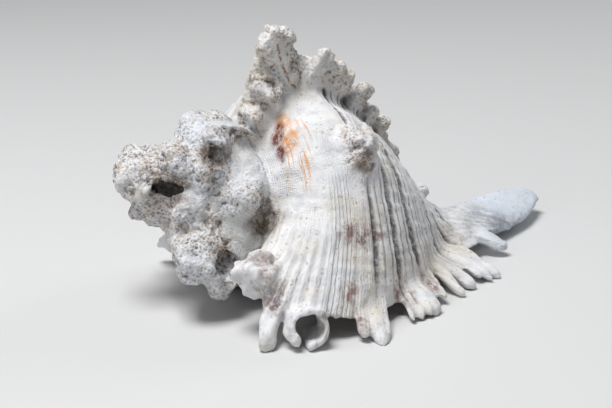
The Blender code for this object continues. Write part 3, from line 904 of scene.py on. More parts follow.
class MeshWork:
    """Moves arrays into and out of Blender's meshes."""

    @staticmethod
    def make(name: str, surfaces: list[Surface]) -> bpy.types.Object:
        """One object that holds the given closed surfaces.

        Args:
            name: the object's name.
            surfaces: vertices and triangles of each surface, in metres.

        Returns:
            The new object, at the origin.
        """
        starts = np.cumsum([0] + [len(verts) for verts, _ in surfaces])
        verts = np.vstack([verts for verts, _ in surfaces])
        faces = np.vstack([faces + start for (_, faces), start in zip(surfaces, starts)])
        mesh = bpy.data.meshes.new(name)
        mesh.vertices.add(len(verts))
        mesh.vertices.foreach_set("co", verts.astype(np.float32).ravel())
        mesh.loops.add(faces.size)
        mesh.loops.foreach_set("vertex_index", faces.astype(np.int32).ravel())
        mesh.polygons.add(len(faces))
        mesh.polygons.foreach_set("loop_start", np.arange(0, faces.size, 3, dtype=np.int32))
        mesh.update(calc_edges=True)
        obj = bpy.data.objects.new(name, mesh)
        bpy.context.scene.collection.objects.link(obj)
        return obj

    @staticmethod
    def bake(obj: bpy.types.Object) -> bpy.types.Object:
        """The object with its modifiers worked into its mesh.

        Args:
            obj: the object.

        Returns:
            The same object.
        """
        evaluated = obj.evaluated_get(bpy.context.evaluated_depsgraph_get())
        mesh = bpy.data.meshes.new_from_object(evaluated)
        old = obj.data
        obj.modifiers.clear()
        obj.data = mesh
        bpy.data.meshes.remove(old)
        mesh.name = obj.name
        return obj

    @staticmethod
    def read(mesh: bpy.types.Mesh) -> tuple[Array, Array, Array]:
        """Vertex places, vertex normals and edges of a mesh.

        Args:
            mesh: the mesh.

        Returns:
            Places and normals with a row for each vertex, and pairs of vertices.
        """
        count = len(mesh.vertices)
        places, normals = np.empty((2, count * 3), np.float32)
        edges = np.empty(len(mesh.edges) * 2, np.int32)
        mesh.vertices.foreach_get("co", places)
        mesh.vertices.foreach_get("normal", normals)
        mesh.edges.foreach_get("vertices", edges)
        places, normals = (values.reshape(-1, 3).astype(float) for values in (places, normals))
        return places, normals, edges.reshape(-1, 2)

    @staticmethod
    def write(mesh: bpy.types.Mesh, places: Array) -> None:
        """Puts new vertex places into a mesh."""
        mesh.vertices.foreach_set("co", places.astype(np.float32).ravel())
        mesh.update()

    @staticmethod
    def relaxed(values: Array, edges: Array, rounds: int) -> Array:
        """Values after each has been moved to the mean of its neighbours, rounds times.

        Args:
            values: one row a vertex.
            edges: vertex pairs.
            rounds: how often.

        Returns:
            The smoothed values.
        """
        a, b = edges[:, 0], edges[:, 1]
        size = len(values)
        count = np.maximum(np.bincount(a, minlength=size) + np.bincount(b, minlength=size), 1)
        flat = values.reshape(size, -1).copy()
        for _ in range(rounds):
            for k in range(flat.shape[1]):
                column = flat[:, k]
                total = np.bincount(a, column[b], size) + np.bincount(b, column[a], size)
                flat[:, k] = 0.5 * column + 0.5 * total / count
        return flat.reshape(values.shape)

    @classmethod
    def hollowness(cls, places: Array, normals: Array, edges: Array, rounds: int) -> Array:
        """How far each vertex lies under the surface smoothed over rounds steps, in metres."""
        return np.einsum("ij,ij->i", cls.relaxed(places, edges, rounds) - places, normals)


@dataclass
class Masks:
    """One strength from 0 to 1 for each vertex and each kind of surface."""

    worn: Array
    pitted: Array
    inside: Array
    # groove: painted shade in the grooves and between the threads.
    groove: Array
    # brown: painted shade in the hollows and under the overhangs, with brown deposit in it.
    brown: Array
    mauve: Array
    maroon: Array
    orange: Array
    cool: Array
    streaks: Array
    seam: Array


@dataclass(frozen=True)
class Grain:
    """One noise pattern of a relief: the size of its swellings and its height, in metres."""

    size: float
    height: float


@dataclass(frozen=True)
class FoldRelief:
    """Overlapping frilled folds on the highest spine's face: a saw-tooth over the radius."""

    start: float = 0.201
    step: float = 0.044
    height: float = 0.0021
    rise: Pair = (0.0, 0.12)
    middle: float = 0.35
    wander: float = 0.30
    wander_size: float = 0.04
    slant: float = 1.6
    slant_from: float = 0.215
    from_age: Pair = (-125.0, -108.0)
    to_age: Pair = (-70.0, -80.0)
    to_height: Pair = (0.265, 0.240)

    def heights(self, points: Array, places: Places) -> Array:
        """Heights of the folds, in metres: each tooth rises at once and falls evenly.

        Args:
            points: points of the shell's own frame.
            places: where the points lie on the spiral.

        Returns:
            One height for each point.
        """
        ragged = (self.wander * Noise.fractal(points, self.wander_size, 3, Salt.SPINE_FOLDS)
                  + self.slant * (points[:, 2] - self.slant_from))
        tooth = (axis_distance(points) - self.start) / self.step + ragged
        tooth = tooth - np.floor(tooth)
        saw = (1 - tooth) * smoothstep(*self.rise, tooth)
        face = smoothstep(*self.from_age, places.age) * smoothstep(*self.to_age, places.age)
        return self.height * (saw - self.middle) * face * smoothstep(*self.to_height, points[:, 2])


@dataclass(frozen=True)
class CordRelief:
    """Spiral cords, their finer threads and the growth lines across them.

    A cord is the room between two grooves, which lie at whole numbers of cords times share. The
    depth of a groove falls off as a bell curve from its middle. Pairs are where a strength is 0
    and where it is 1, heights are in metres, and ages are in degrees.
    """

    cords: float = 12.0
    first_cord: float = 0.44
    wander: float = 0.16
    wander_share: float = 9.0
    wander_age: float = 90.0
    depth: float = 0.0017
    half_width: float = 0.15
    lane_depth: Pair = (0.70, 0.55)
    lane_wear: Pair = (0.35, 0.45)
    depth_along: Pair = (0.8, 0.35)
    depth_length: float = 0.02
    shoulder: float = 0.30
    shoulder_fade: float = 0.11
    foot_share: Pair = (0.86, 0.97)
    canal_height: Pair = (0.60, 0.72)
    crest_reach: Pair = (1.04, 1.12)
    crest_age: Pair = (-70.0, -80.0)
    lip_age: Pair = (-15.0, -3.0)
    lip_fade: float = 0.65
    old_age: Pair = (-96.0, -118.0)
    old_paint: float = 0.45
    threads: int = 3
    thread_half_width: float = 0.16
    thread_depth: float = 0.00045
    # Painted shade between the threads.
    thread_shade: float = 0.55
    thread_least: float = 0.25
    thread_from: Pair = (-0.10, 0.02)
    roundness: float = 0.0021
    lines: Grain = Grain(0.0016, 0.00020)
    lines_across: float = 6.0
    folds: Grain = Grain(0.009, 0.00045)
    folds_across: float = 4.0
    old_fold_height: float = 0.00040
    rib_height: float = 0.00030
    ribs: float = 4.0
    rib_age: Pair = (-40.0, -10.0)
    rib_to: Pair = (0.06, -0.02)
    pitted_fade: float = 0.75
    arc_per_degree: float = 0.25 / 57.3
    least_growth: float = 0.4

    def grooved(self, points: Array, places: Places) -> Array:
        """Strength of the grooves: 1 under the shoulder, 0 on canal and crest, weak at the lip.

        Args:
            points: points of the shell's own frame.
            places: where the points lie on the spiral.

        Returns:
            One strength for each point.
        """
        below = smoothstep(self.shoulder, self.shoulder + self.shoulder_fade, places.share)
        below = below * (1 - smoothstep(*self.foot_share, places.share))
        below = below * (1 - smoothstep(*self.canal_height, points[:, 2]))
        crest = smoothstep(*self.crest_reach, places.reach) * smoothstep(*self.crest_age, places.age)
        return below * (1 - crest) * (1 - self.lip_fade * smoothstep(*self.lip_age, places.age))

    def lane_strength(self, cord: Array, old: Array) -> Array:
        """A depth of its own for each groove, less on the old whorl.

        Args:
            cord: number of the cord at each point, with fractions.
            old: 1 on the old whorl and 0 on the new one.

        Returns:
            One factor for each point.
        """
        none = np.zeros(len(cord))
        cell = np.column_stack([np.round(cord), none, none]).astype(np.int64)
        least, more = self.lane_depth
        strength = least + more * Noise.chance(cell, Salt.LANE_DEPTH)
        least, more = self.lane_wear
        return strength * (1 - old * (least + more * Noise.chance(cell, Salt.LANE_WEAR)))

    def lip_ribs(self, cord: Array, places: Places) -> Array:
        """Low ribs over the shoulder, near the outer lip.

        Args:
            cord: number of the cord at each point, with fractions.
            places: where the points lie on the spiral.

        Returns:
            Waves from -1 to 1.
        """
        ribs = np.cos(2 * np.pi * self.ribs * cord) * smoothstep(*self.rib_age, places.age)
        low, high = self.rib_to
        return ribs * smoothstep(self.shoulder + low, self.shoulder + high, places.share)

    def heights(self, points: Array, places: Places, masks: Masks, growth: Array,
                length: float) -> Array:
        """All heights along the normals; it fills in the groove mask too, which marks painted shade in
        the grooves and between the threads.

        Args:
            points: vertices in the shell's frame.
            places: where they lie on the spiral.
            masks: the masks; the groove mask is filled in.
            growth: size of the outline at each vertex, against the last lip.
            length: the shell's length in metres.

        Returns:
            Heights in metres.
        """
        none = np.zeros(len(points))
        share, age = places.share, places.age
        arc = age * self.arc_per_degree * length * growth
        lane = np.column_stack([share * self.wander_share, age / self.wander_age, none])
        cord = (self.cords * share - self.first_cord
                + self.wander * Noise.fractal(lane, 1.0, 2, Salt.LANE_WANDER))
        offset = np.abs(cord - np.round(cord))
        old = smoothstep(*self.old_age, age)
        below = self.grooved(points, places)
        least, more = self.depth_along
        along = np.column_stack([cord, arc / self.depth_length, none])
        groove = np.exp(-((offset / self.half_width) ** 2)) * below * self.lane_strength(cord, old)
        groove = groove * (least + more * Noise.smooth(along, 1.0, Salt.GROOVE_DEPTH))
        thread = cord * self.threads
        narrow = np.exp(-(((thread - np.round(thread)) / self.thread_half_width) ** 2))
        narrow = narrow * (self.thread_least + (1 - self.thread_least) * below)
        low, high = self.thread_from
        narrow = narrow * smoothstep(self.shoulder + low, self.shoulder + high, share)
        crown = (offset - 0.25) ** 2 * below
        across = np.column_stack([share * self.lines_across, arc / self.lines.size, none])
        lines = Noise.smooth(across, 1.0, Salt.GROWTH_LINES)
        across = np.column_stack([share * self.folds_across, arc / self.folds.size, none])
        folds = Noise.fractal(across, 1.0, 2, Salt.GROWTH_FOLDS)
        plain = (1 - masks.worn) * (1 - masks.inside) * (1 - self.pitted_fade * masks.pitted)
        # The groove mask marks painted shade in the grooves and between the threads.
        masks.groove[:] = (np.maximum(groove, self.thread_shade * narrow) * plain
                           * (1 - self.old_paint * old))
        height = (-self.depth * groove - self.thread_depth * narrow - self.roundness * crown
                  + self.lines.height * lines + (self.folds.height + self.old_fold_height * old) * folds
                  + self.rib_height * self.lip_ribs(cord, places))
        return height * plain * np.maximum(growth, self.least_growth)


@dataclass(frozen=True)
class CrustRelief:
    """Broken, porous surface where the shell is worn, and soft dents and grain elsewhere."""

    swell: Grain = Grain(0.0090, 0.0013)
    ridges: Grain = Grain(0.0046, 0.00050)
    pits: Grain = Grain(0.0023, 0.00095)
    pit_edge: Pair = (0.10, 0.70)
    grain: Grain = Grain(0.0014, 0.00028)
    dents: Grain = Grain(0.0075, 0.00035)
    plain_grain: float = 0.00010
    inside_fade: float = 0.8
    holes: Grain = Grain(0.0022, 0.0006)
    hole_edge: Pair = (0.36, 0.12)
    hole_share: float = 0.45
    hole_strength: float = 0.6

    def heights(self, metres: Array, masks: Masks) -> Array:
        """Heights along the normals, in metres, at points of the shell's frame in metres.

        Args:
            metres: points of the shell's frame, in metres.
            masks: strengths of the kinds of surface.

        Returns:
            One height for each point.
        """
        swell = Noise.fractal(metres, self.swell.size, 3, Salt.CRUST_SWELL)
        ridged = 1 - 2 * np.abs(Noise.fractal(metres, self.ridges.size, 2, Salt.CRUST_RIDGES))
        pits = smoothstep(*self.pit_edge, Noise.fractal(metres, self.pits.size, 2, Salt.CRUST_PITS))
        grain = Noise.smooth(metres, self.grain.size, Salt.CRUST_GRAIN)
        dents = Noise.fractal(metres, self.dents.size, 3, Salt.DENTS)
        worn = (self.swell.height * swell + self.ridges.height * ridged - self.pits.height * pits
                + self.grain.height * grain)
        plain = self.dents.height * dents + self.plain_grain * grain
        distance, own = Noise.cells(metres, self.holes.size, Salt.HOLES)
        holes = smoothstep(*self.hole_edge, distance) * (own < self.hole_share)
        holes = holes * self.hole_strength * masks.pitted * (1 - masks.worn)
        return (worn * masks.worn + plain * (1 - masks.worn) * (1 - self.inside_fade * masks.inside)
                - self.holes.height * holes)


@dataclass(frozen=True)
class Wear:
    """Where and how strongly the shell is worn, pitted and blue.

    Pairs are where a strength is 0 and where it is 1. Ages are in degrees, heights and distances
    in shell lengths, and the other numbers are strengths or factors on a lump's size.
    """

    body_height: Pair = (0.50, 0.60)
    patches: Pair = (0.75, 0.35)
    patch_size: float = 0.05
    patch_least: float = 0.4
    lump_reach: float = 1.12
    knob_reach: float = 1.30
    crest_reach: Pair = (1.05, 1.16)
    crest_age: Pair = (-60.0, -85.0)
    crest: float = 0.75
    seam_gap: Pair = (0.020, 0.006)
    seam: float = 0.8
    old_age: Pair = (-430.0, -560.0)
    old: float = 0.8
    ledge_reach: float = 1.15
    ledge_height: Pair = (0.158, 0.172)
    ledge_slant: float = 0.2
    ledge_radius: float = 0.13
    ledge: float = 0.5
    bump_reach: float = 0.9
    bump_height: Pair = (0.190, 0.168)
    pitted_age: Pair = (-325.0, -345.0)
    pitted: float = 0.45
    pitted_reach: float = 1.1
    pitted_lumps: float = 0.5
    blue_height: Pair = (0.66, 0.86)
    blue_from_age: Pair = (-325.0, -360.0)
    blue_to_age: Pair = (-560.0, -450.0)
    blue: float = 0.5
    stain_blur: float = 0.35
    maroon_blur: float = 0.3
    orange_blur: float = 0.5


@dataclass
class ShellSkin:
    """Fuses the shell's surfaces into one mesh, cuts its hollows, and carves its fine relief."""

    pose: Pose = field(default_factory=Pose)
    spiral: Spiral = field(default_factory=Spiral)
    plan: ShellPlan = field(default_factory=ShellPlan)
    base_voxel: float = 0.00075
    fine_voxel: float = 0.00060
    quick_voxel: float = 0.0010
    most_triangles: int = 194_000
    fillet_rounds: int = 24
    fillet_most: float = 0.0022
    merge_rounds: int = 90
    merge_most: float = 0.0060
    fill_passes: int = 2
    flat_enough: float = 0.00008
    spire_reach: float = 1.35
    spire_blur: float = 0.2
    room_centre: Pair = (0.15, 0.43)
    room_points: int = 200
    room_overrun: float = 8.0
    room_reach: float = 1.035
    seam_radius: float = 0.20
    seam_most: float = 0.05
    seam_points: int = 90
    fine_rounds: int = 5
    fine_depth: float = 0.00030
    broad_rounds: int = 36
    broad_depth: float = 0.0016
    wear: Wear = field(default_factory=Wear)
    folds: FoldRelief = field(default_factory=FoldRelief)
    cords: CordRelief = field(default_factory=CordRelief)
    crust: CrustRelief = field(default_factory=CrustRelief)

    def build(self) -> bpy.types.Object:
        """The finished shell as one mesh object.

        Returns:
            The object, at the origin, with its masks as point attributes.
        """
        shell = MeshWork.make("shell_skin", [self.placed(s) for s in self.plan.surfaces(self.spiral)])
        self.remesh(shell, self.base_voxel)
        self.fill_creases(shell.data)
        for cutter in self.plan.cutters(self.spiral):
            self.cut(shell, cutter)
        self.remesh(shell, self.fine_voxel)
        LOG.info("fused and cut: %d vertices", len(shell.data.vertices))
        self.carve(shell.data)
        self.thin(shell)
        shell.data.shade_smooth()
        LOG.info("shell_skin: %d triangles", len(shell.data.polygons))
        return shell

    def placed(self, surface: Surface) -> Surface:
        """A surface of the shell's frame, in the row frame."""
        return self.pose.to_row(surface[0]), surface[1]

    def remesh(self, obj: bpy.types.Object, voxel: float) -> None:
        """Joins what overlaps into one skin of even quads.

        Args:
            obj: the object.
            voxel: side of a voxel, in metres.
        """
        skin = obj.modifiers.new("skin", "REMESH")
        skin.mode = "VOXEL"
        skin.voxel_size = voxel
        MeshWork.bake(obj)

    def cut(self, obj: bpy.types.Object, cutter: Surface) -> None:
        """Takes the cutter's room out of the object.

        Args:
            obj: the object.
            cutter: closed surface in the shell's frame.
        """
        tool = MeshWork.make("cutter", [self.placed(cutter)])
        step = obj.modifiers.new("cut", "BOOLEAN")
        step.operation = "DIFFERENCE"
        step.solver = "MANIFOLD"
        step.object = tool
        MeshWork.bake(obj)
        mesh = tool.data
        bpy.data.objects.remove(tool)
        bpy.data.meshes.remove(mesh)

    def fill_creases(self, mesh: bpy.types.Mesh) -> None:
        """Rounds the inner corners where spines leave the whorl, and more so between spire lumps.

        Args:
            mesh: the mesh.
        """
        for rounds, most, spire_only in ((self.merge_rounds, self.merge_most, True),
                                         (self.fillet_rounds, self.fillet_most, False)):
            for _ in range(self.fill_passes):
                places, normals, edges = MeshWork.read(mesh)
                depth = MeshWork.hollowness(places, normals, edges, rounds)
                fill = np.clip(depth - self.flat_enough, 0, most)
                if spire_only:
                    fill *= self.spire_share(self.pose.to_shell(places))
                MeshWork.write(mesh, places + normals * fill[:, None])

    def spire_share(self, points: Array) -> Array:
        """1 on the spire's lumps and 0 elsewhere."""
        return self.patch(points, self.plan.lumps + self.plan.ridge, self.spire_reach, self.spire_blur)

    @staticmethod
    def patch(points: Array, lumps: tuple, reach: float = 1.0, blur: float = 0.35) -> Array:
        """The strongest of the lumps' masks at each point."""
        return np.max([lump.mask(points, reach, blur) for lump in lumps], axis=0)

    def thin(self, obj: bpy.types.Object) -> None:
        """Brings the triangles under the limit, and keeps the masks on the vertices.

        Args:
            obj: the object.
        """
        triangles = 2 * len(obj.data.polygons)
        if triangles > self.most_triangles:
            step = obj.modifiers.new("thin", "DECIMATE")
            step.ratio = self.most_triangles / triangles
        MeshWork.bake(obj)

    def room_mask(self, points: Array, places: Places, growth: Array) -> Array:
        """1 on the walls of the aperture's room.

        Args:
            points: points of the shell's own frame.
            places: where the points lie on the spiral.
            growth: size of the outline at each point, against the last lip.

        Returns:
            True on the walls.
        """
        room = Aperture()
        flat = np.column_stack([axis_distance(points), points[:, 2]]) / growth[:, None]
        flat = flat - self.room_centre
        direction = np.arctan2(flat[:, 1], flat[:, 0])
        edges = []
        for outline in (room.inner, room.mouth):
            offset = smooth_curve(outline + outline[:1], self.room_points)[:-1] - self.room_centre
            edges.append(np.interp(direction, np.arctan2(offset[:, 1], offset[:, 0]),
                                   np.linalg.norm(offset, axis=1), period=2 * np.pi))
        near = self.spiral.nearness(np.minimum(places.age, 0.0), 0.0)
        ratio = np.linalg.norm(flat, axis=1) / (edges[0] + (edges[1] - edges[0]) * near)
        deepest = room.start - self.room_overrun
        return (ratio < self.room_reach) & (places.age > deepest) & (places.turns == 0)

    def masks(self, points: Array, places: Places, growth: Array) -> Masks:
        """Works out where the shell is worn, pitted, hidden inside, stained or blue, and where brown
        painted shade lies in its hollows.

        Args:
            points: vertices in the shell's frame.
            places: where they lie on the spiral.
            growth: size of the outline at each vertex, against the last lip.

        Returns:
            The masks, with the groove mask still empty.
        """
        plan, wear, age, height = self.plan, self.wear, places.age, points[:, 2]
        inside = self.room_mask(points, places, growth).astype(float)
        outer = 1.0 - inside
        body = 1.0 - smoothstep(*wear.body_height, height)
        seam = self.seam_distance(points, places)
        crest = smoothstep(*wear.crest_reach, places.reach) * smoothstep(*wear.crest_age, age) * body
        crest = crest * (1 - wear.seam * smoothstep(*wear.seam_gap, seam))
        ledge = height + wear.ledge_slant * (wear.ledge_radius - axis_distance(points))
        worn = np.maximum.reduce([
            self.patch(points, plan.lumps, wear.lump_reach),
            self.patch(points, plan.knob[1:], wear.knob_reach),
            wear.crest * crest,
            wear.old * smoothstep(*wear.old_age, age) * body,
            wear.ledge * self.patch(points, (plan.ledge,), wear.ledge_reach)
            * smoothstep(*wear.ledge_height, ledge),
            self.patch(points, (plan.lip_bump,), wear.bump_reach)
            * smoothstep(*wear.bump_height, height),
        ])
        least, more = wear.patches
        patchy = least + more * Noise.fractal(points, wear.patch_size, 3, Salt.WEAR)
        worn = worn * np.clip(patchy, wear.patch_least, 1.0)
        pitted = np.maximum.reduce([
            wear.pitted * smoothstep(*wear.pitted_age, age),
            wear.pitted_lumps * self.patch(points, plan.knob, wear.pitted_reach),
            wear.pitted_lumps * self.patch(points, plan.ridge, wear.pitted_reach),
        ])
        old_blue = smoothstep(*wear.blue_from_age, age) * smoothstep(*wear.blue_to_age, age)
        cool = np.maximum(smoothstep(*wear.blue_height, height), wear.blue * old_blue)
        # brown is painted shade in the hollows, with deposit in it; mauve, maroon, orange and streaks
        # are stains.
        brown, mauve, maroon, orange, streaks = (
            self.patch(points, lumps, blur=blur) for lumps, blur in (
                (plan.brown, wear.stain_blur), (plan.mauve, wear.stain_blur),
                (plan.maroon, wear.maroon_blur), (plan.orange, wear.orange_blur),
                ((plan.streaks,), wear.orange_blur)))
        return Masks(worn=worn * outer, pitted=pitted * outer, inside=inside,
                     groove=np.zeros(len(points)), brown=brown, mauve=mauve * outer, maroon=maroon,
                     orange=orange, cool=cool, streaks=streaks, seam=seam)

    def seam_distance(self, points: Array, places: Places) -> Array:
        """Distance to the brown line of the old lip in the lip's own plane, at most seam_most.

        Args:
            points: points of the shell's own frame.
            places: where the points lie on the spiral.

        Returns:
            One distance for each point, in shell lengths.
        """
        line = smooth_curve(self.plan.lip_line, self.seam_points)
        first, last = self.plan.lip_line_ages
        radius = axis_distance(points)
        near = np.flatnonzero((places.age > first) & (places.age < last) & (radius > self.seam_radius))
        flat = np.column_stack([radius[near], points[near, 2]])
        gaps = np.linalg.norm(flat[:, None] - line[None], axis=2).min(axis=1)
        distance = np.full(len(points), self.seam_most)
        distance[near] = np.minimum(gaps, self.seam_most)
        return distance

    def carve(self, mesh: bpy.types.Mesh) -> None:
        """Moves the vertices along their normals by all the reliefs, and stores the masks.

        Args:
            mesh: the fused and cut mesh, changed in place.
        """
        rows, normals, edges = MeshWork.read(mesh)
        points = self.pose.to_shell(rows)
        places = WhorlMap(self.spiral).locate(points)
        growth = self.spiral.scale(np.minimum(places.age, 0.0))
        masks = self.masks(points, places, growth)
        length = self.pose.length
        height = (self.cords.heights(points, places, masks, growth, length)
                  + self.folds.heights(points, places) * masks.worn
                  + self.crust.heights(points * length, masks))
        carved = rows + normals * height[:, None]
        carved[:, 2] = np.maximum(carved[:, 2], 0.0)
        MeshWork.write(mesh, carved)
        self.store(mesh, places, masks)

    def store(self, mesh: bpy.types.Mesh, places: Places, masks: Masks) -> None:
        """Stores the masks, the hollows that painted shade is drawn from, and each point's place on the
        spiral as point attributes.

        Args:
            mesh: the carved mesh.
            places: where the points lie on the spiral.
            masks: strengths of the kinds of surface.
        """
        shape = MeshWork.read(mesh)
        values = {name: getattr(masks, name) for name in Masks.__dataclass_fields__}
        # cavity and valley: how deep each vertex lies under the smoothed surface, which the material
        # turns into painted shade.
        for name, rounds, depth in (("cavity", self.fine_rounds, self.fine_depth),
                                    ("valley", self.broad_rounds, self.broad_depth)):
            values[name] = np.clip(MeshWork.hollowness(*shape, rounds) / depth, -1, 1)
        for name, strength in values.items():
            attribute = mesh.attributes.new(name, "FLOAT", "POINT")
            attribute.data.foreach_set("value", strength.astype(np.float32))
        spiral = np.column_stack([places.share, places.age / 360.0, places.reach]).astype(np.float32)
        attribute = mesh.attributes.new("spiral", "FLOAT_VECTOR", "POINT")
        attribute.data.foreach_set("vector", spiral.ravel())


class Sketch:
    """Short ways to add and join shader nodes of one material."""

    def __init__(self, name: str) -> None:
        """Starts a material that holds only its shader.

        Args:
            name: the material's name.
        """
        self.material = bpy.data.materials.new(name)
        self.material.use_nodes = True
        self.tree = self.material.node_tree
        self.shader = self.tree.nodes["Principled BSDF"]
        self.place = self.node("ShaderNodeTexCoord").outputs["Object"]

    def node(self, kind: str, **settings: object) -> bpy.types.Node:
        """A new node with the given settings.

        Args:
            kind: the node's type.
            settings: properties of the node.

        Returns:
            The node.
        """
        made = self.tree.nodes.new(kind)
        for name, value in settings.items():
            setattr(made, name, value)
        return made

    def feed(self, socket: bpy.types.NodeSocket, value: object) -> None:
        """Joins an output to a socket, or sets the socket to a number or a colour.

        Args:
            socket: the input.
            value: a number, a colour or an output.
        """
        if isinstance(value, bpy.types.NodeSocket):
            self.tree.links.new(value, socket)
        else:
            socket.default_value = value

    def mask(self, name: str) -> bpy.types.NodeSocket:
        """The strength stored on the mesh under this name."""
        return self.node("ShaderNodeAttribute", attribute_name=name).outputs["Fac"]

    def times(self, first: object, second: object) -> bpy.types.NodeSocket:
        """Two values multiplied."""
        return self.math("MULTIPLY", first, second)

    def spiral(self) -> bpy.types.NodeSocket:
        """Each point's share of the outline, turn and reach, as stored on the mesh."""
        return self.node("ShaderNodeAttribute", attribute_name="spiral").outputs["Vector"]

    def math(self, operation: str, *values: object, clamp: bool = False) -> bpy.types.NodeSocket:
        """One step of arithmetic.

        Args:
            operation: which step.
            values: numbers or outputs, in order.
            clamp: keeps the result between 0 and 1.

        Returns:
            The result.
        """
        made = self.node("ShaderNodeMath", operation=operation, use_clamp=clamp)
        for socket, value in zip(made.inputs, values):
            self.feed(socket, value)
        return made.outputs[0]

    def ramp(self, value: object, low: float, high: float, start: float = 0.0,
             stop: float = 1.0) -> bpy.types.NodeSocket:
        """Smooth step of a value from low to high, brought to start and stop.

        Args:
            value: a number, a colour or an output.
            low: value where the step starts.
            high: value where the step ends.
            start: result at low.
            stop: result at high.

        Returns:
            The result.
        """
        made = self.node("ShaderNodeMapRange", interpolation_type="SMOOTHSTEP")
        for name, number in (("Value", value), ("From Min", low), ("From Max", high),
                             ("To Min", start), ("To Max", stop)):
            self.feed(made.inputs[name], number)
        return made.outputs["Result"]

    def mix(self, share: object, first: object, second: object) -> bpy.types.NodeSocket:
        """Two colours mixed by a share.

        Args:
            share: 0 for the first colour, 1 for the second.
            first: a colour or an output.
            second: a colour or an output.

        Returns:
            The mixed colour.
        """
        made = self.node("ShaderNodeMix", data_type="RGBA")
        self.feed(made.inputs["Factor"], share)
        self.feed(made.inputs["A"], first)
        self.feed(made.inputs["B"], second)
        return made.outputs["Result"]

    def noise(self, size: float, detail: float = 3.0, rough: float = 0.55,
              vector: object = None) -> bpy.types.NodeSocket:
        """Noise whose largest swellings have this size, in metres.

        Args:
            size: size of the largest pattern, in metres.
            detail: how many finer layers it has.
            rough: strength of the finer layers.
            vector: what it reads instead of the object's coordinates.

        Returns:
            The noise, from 0 to 1.
        """
        made = self.node("ShaderNodeTexNoise")
        self.feed(made.inputs["Vector"], self.place if vector is None else vector)
        for name, number in (("Scale", 1.0 / size), ("Detail", detail), ("Roughness", rough)):
            made.inputs[name].default_value = number
        return made.outputs["Fac"]

    def own_chance(self, cells: bpy.types.Node) -> bpy.types.NodeSocket:
        """A number of its own for each cell.

        Args:
            cells: the node of the scattered points.

        Returns:
            The number, from 0 to 1.
        """
        made = self.node("ShaderNodeSeparateColor")
        self.feed(made.inputs[0], cells.outputs["Color"])
        return made.outputs[0]

    def cells(self, size: float) -> bpy.types.Node:
        """Scattered points, one a cell of this size in metres.

        Args:
            size: side of a cell, in metres.

        Returns:
            The node, with its distances and colours.
        """
        made = self.node("ShaderNodeTexVoronoi")
        self.feed(made.inputs["Vector"], self.place)
        made.inputs["Scale"].default_value = 1.0 / size
        return made


@dataclass(frozen=True)
class Patches:
    """Noise of this size, detail and roughness, turned into a strength by a ramp."""

    size: float
    detail: float
    rough: float
    edge: Ramp

    def strength(self, s: Sketch) -> bpy.types.NodeSocket:
        """The strength, as a node's output."""
        return s.ramp(s.noise(self.size, self.detail, self.rough), *self.edge)


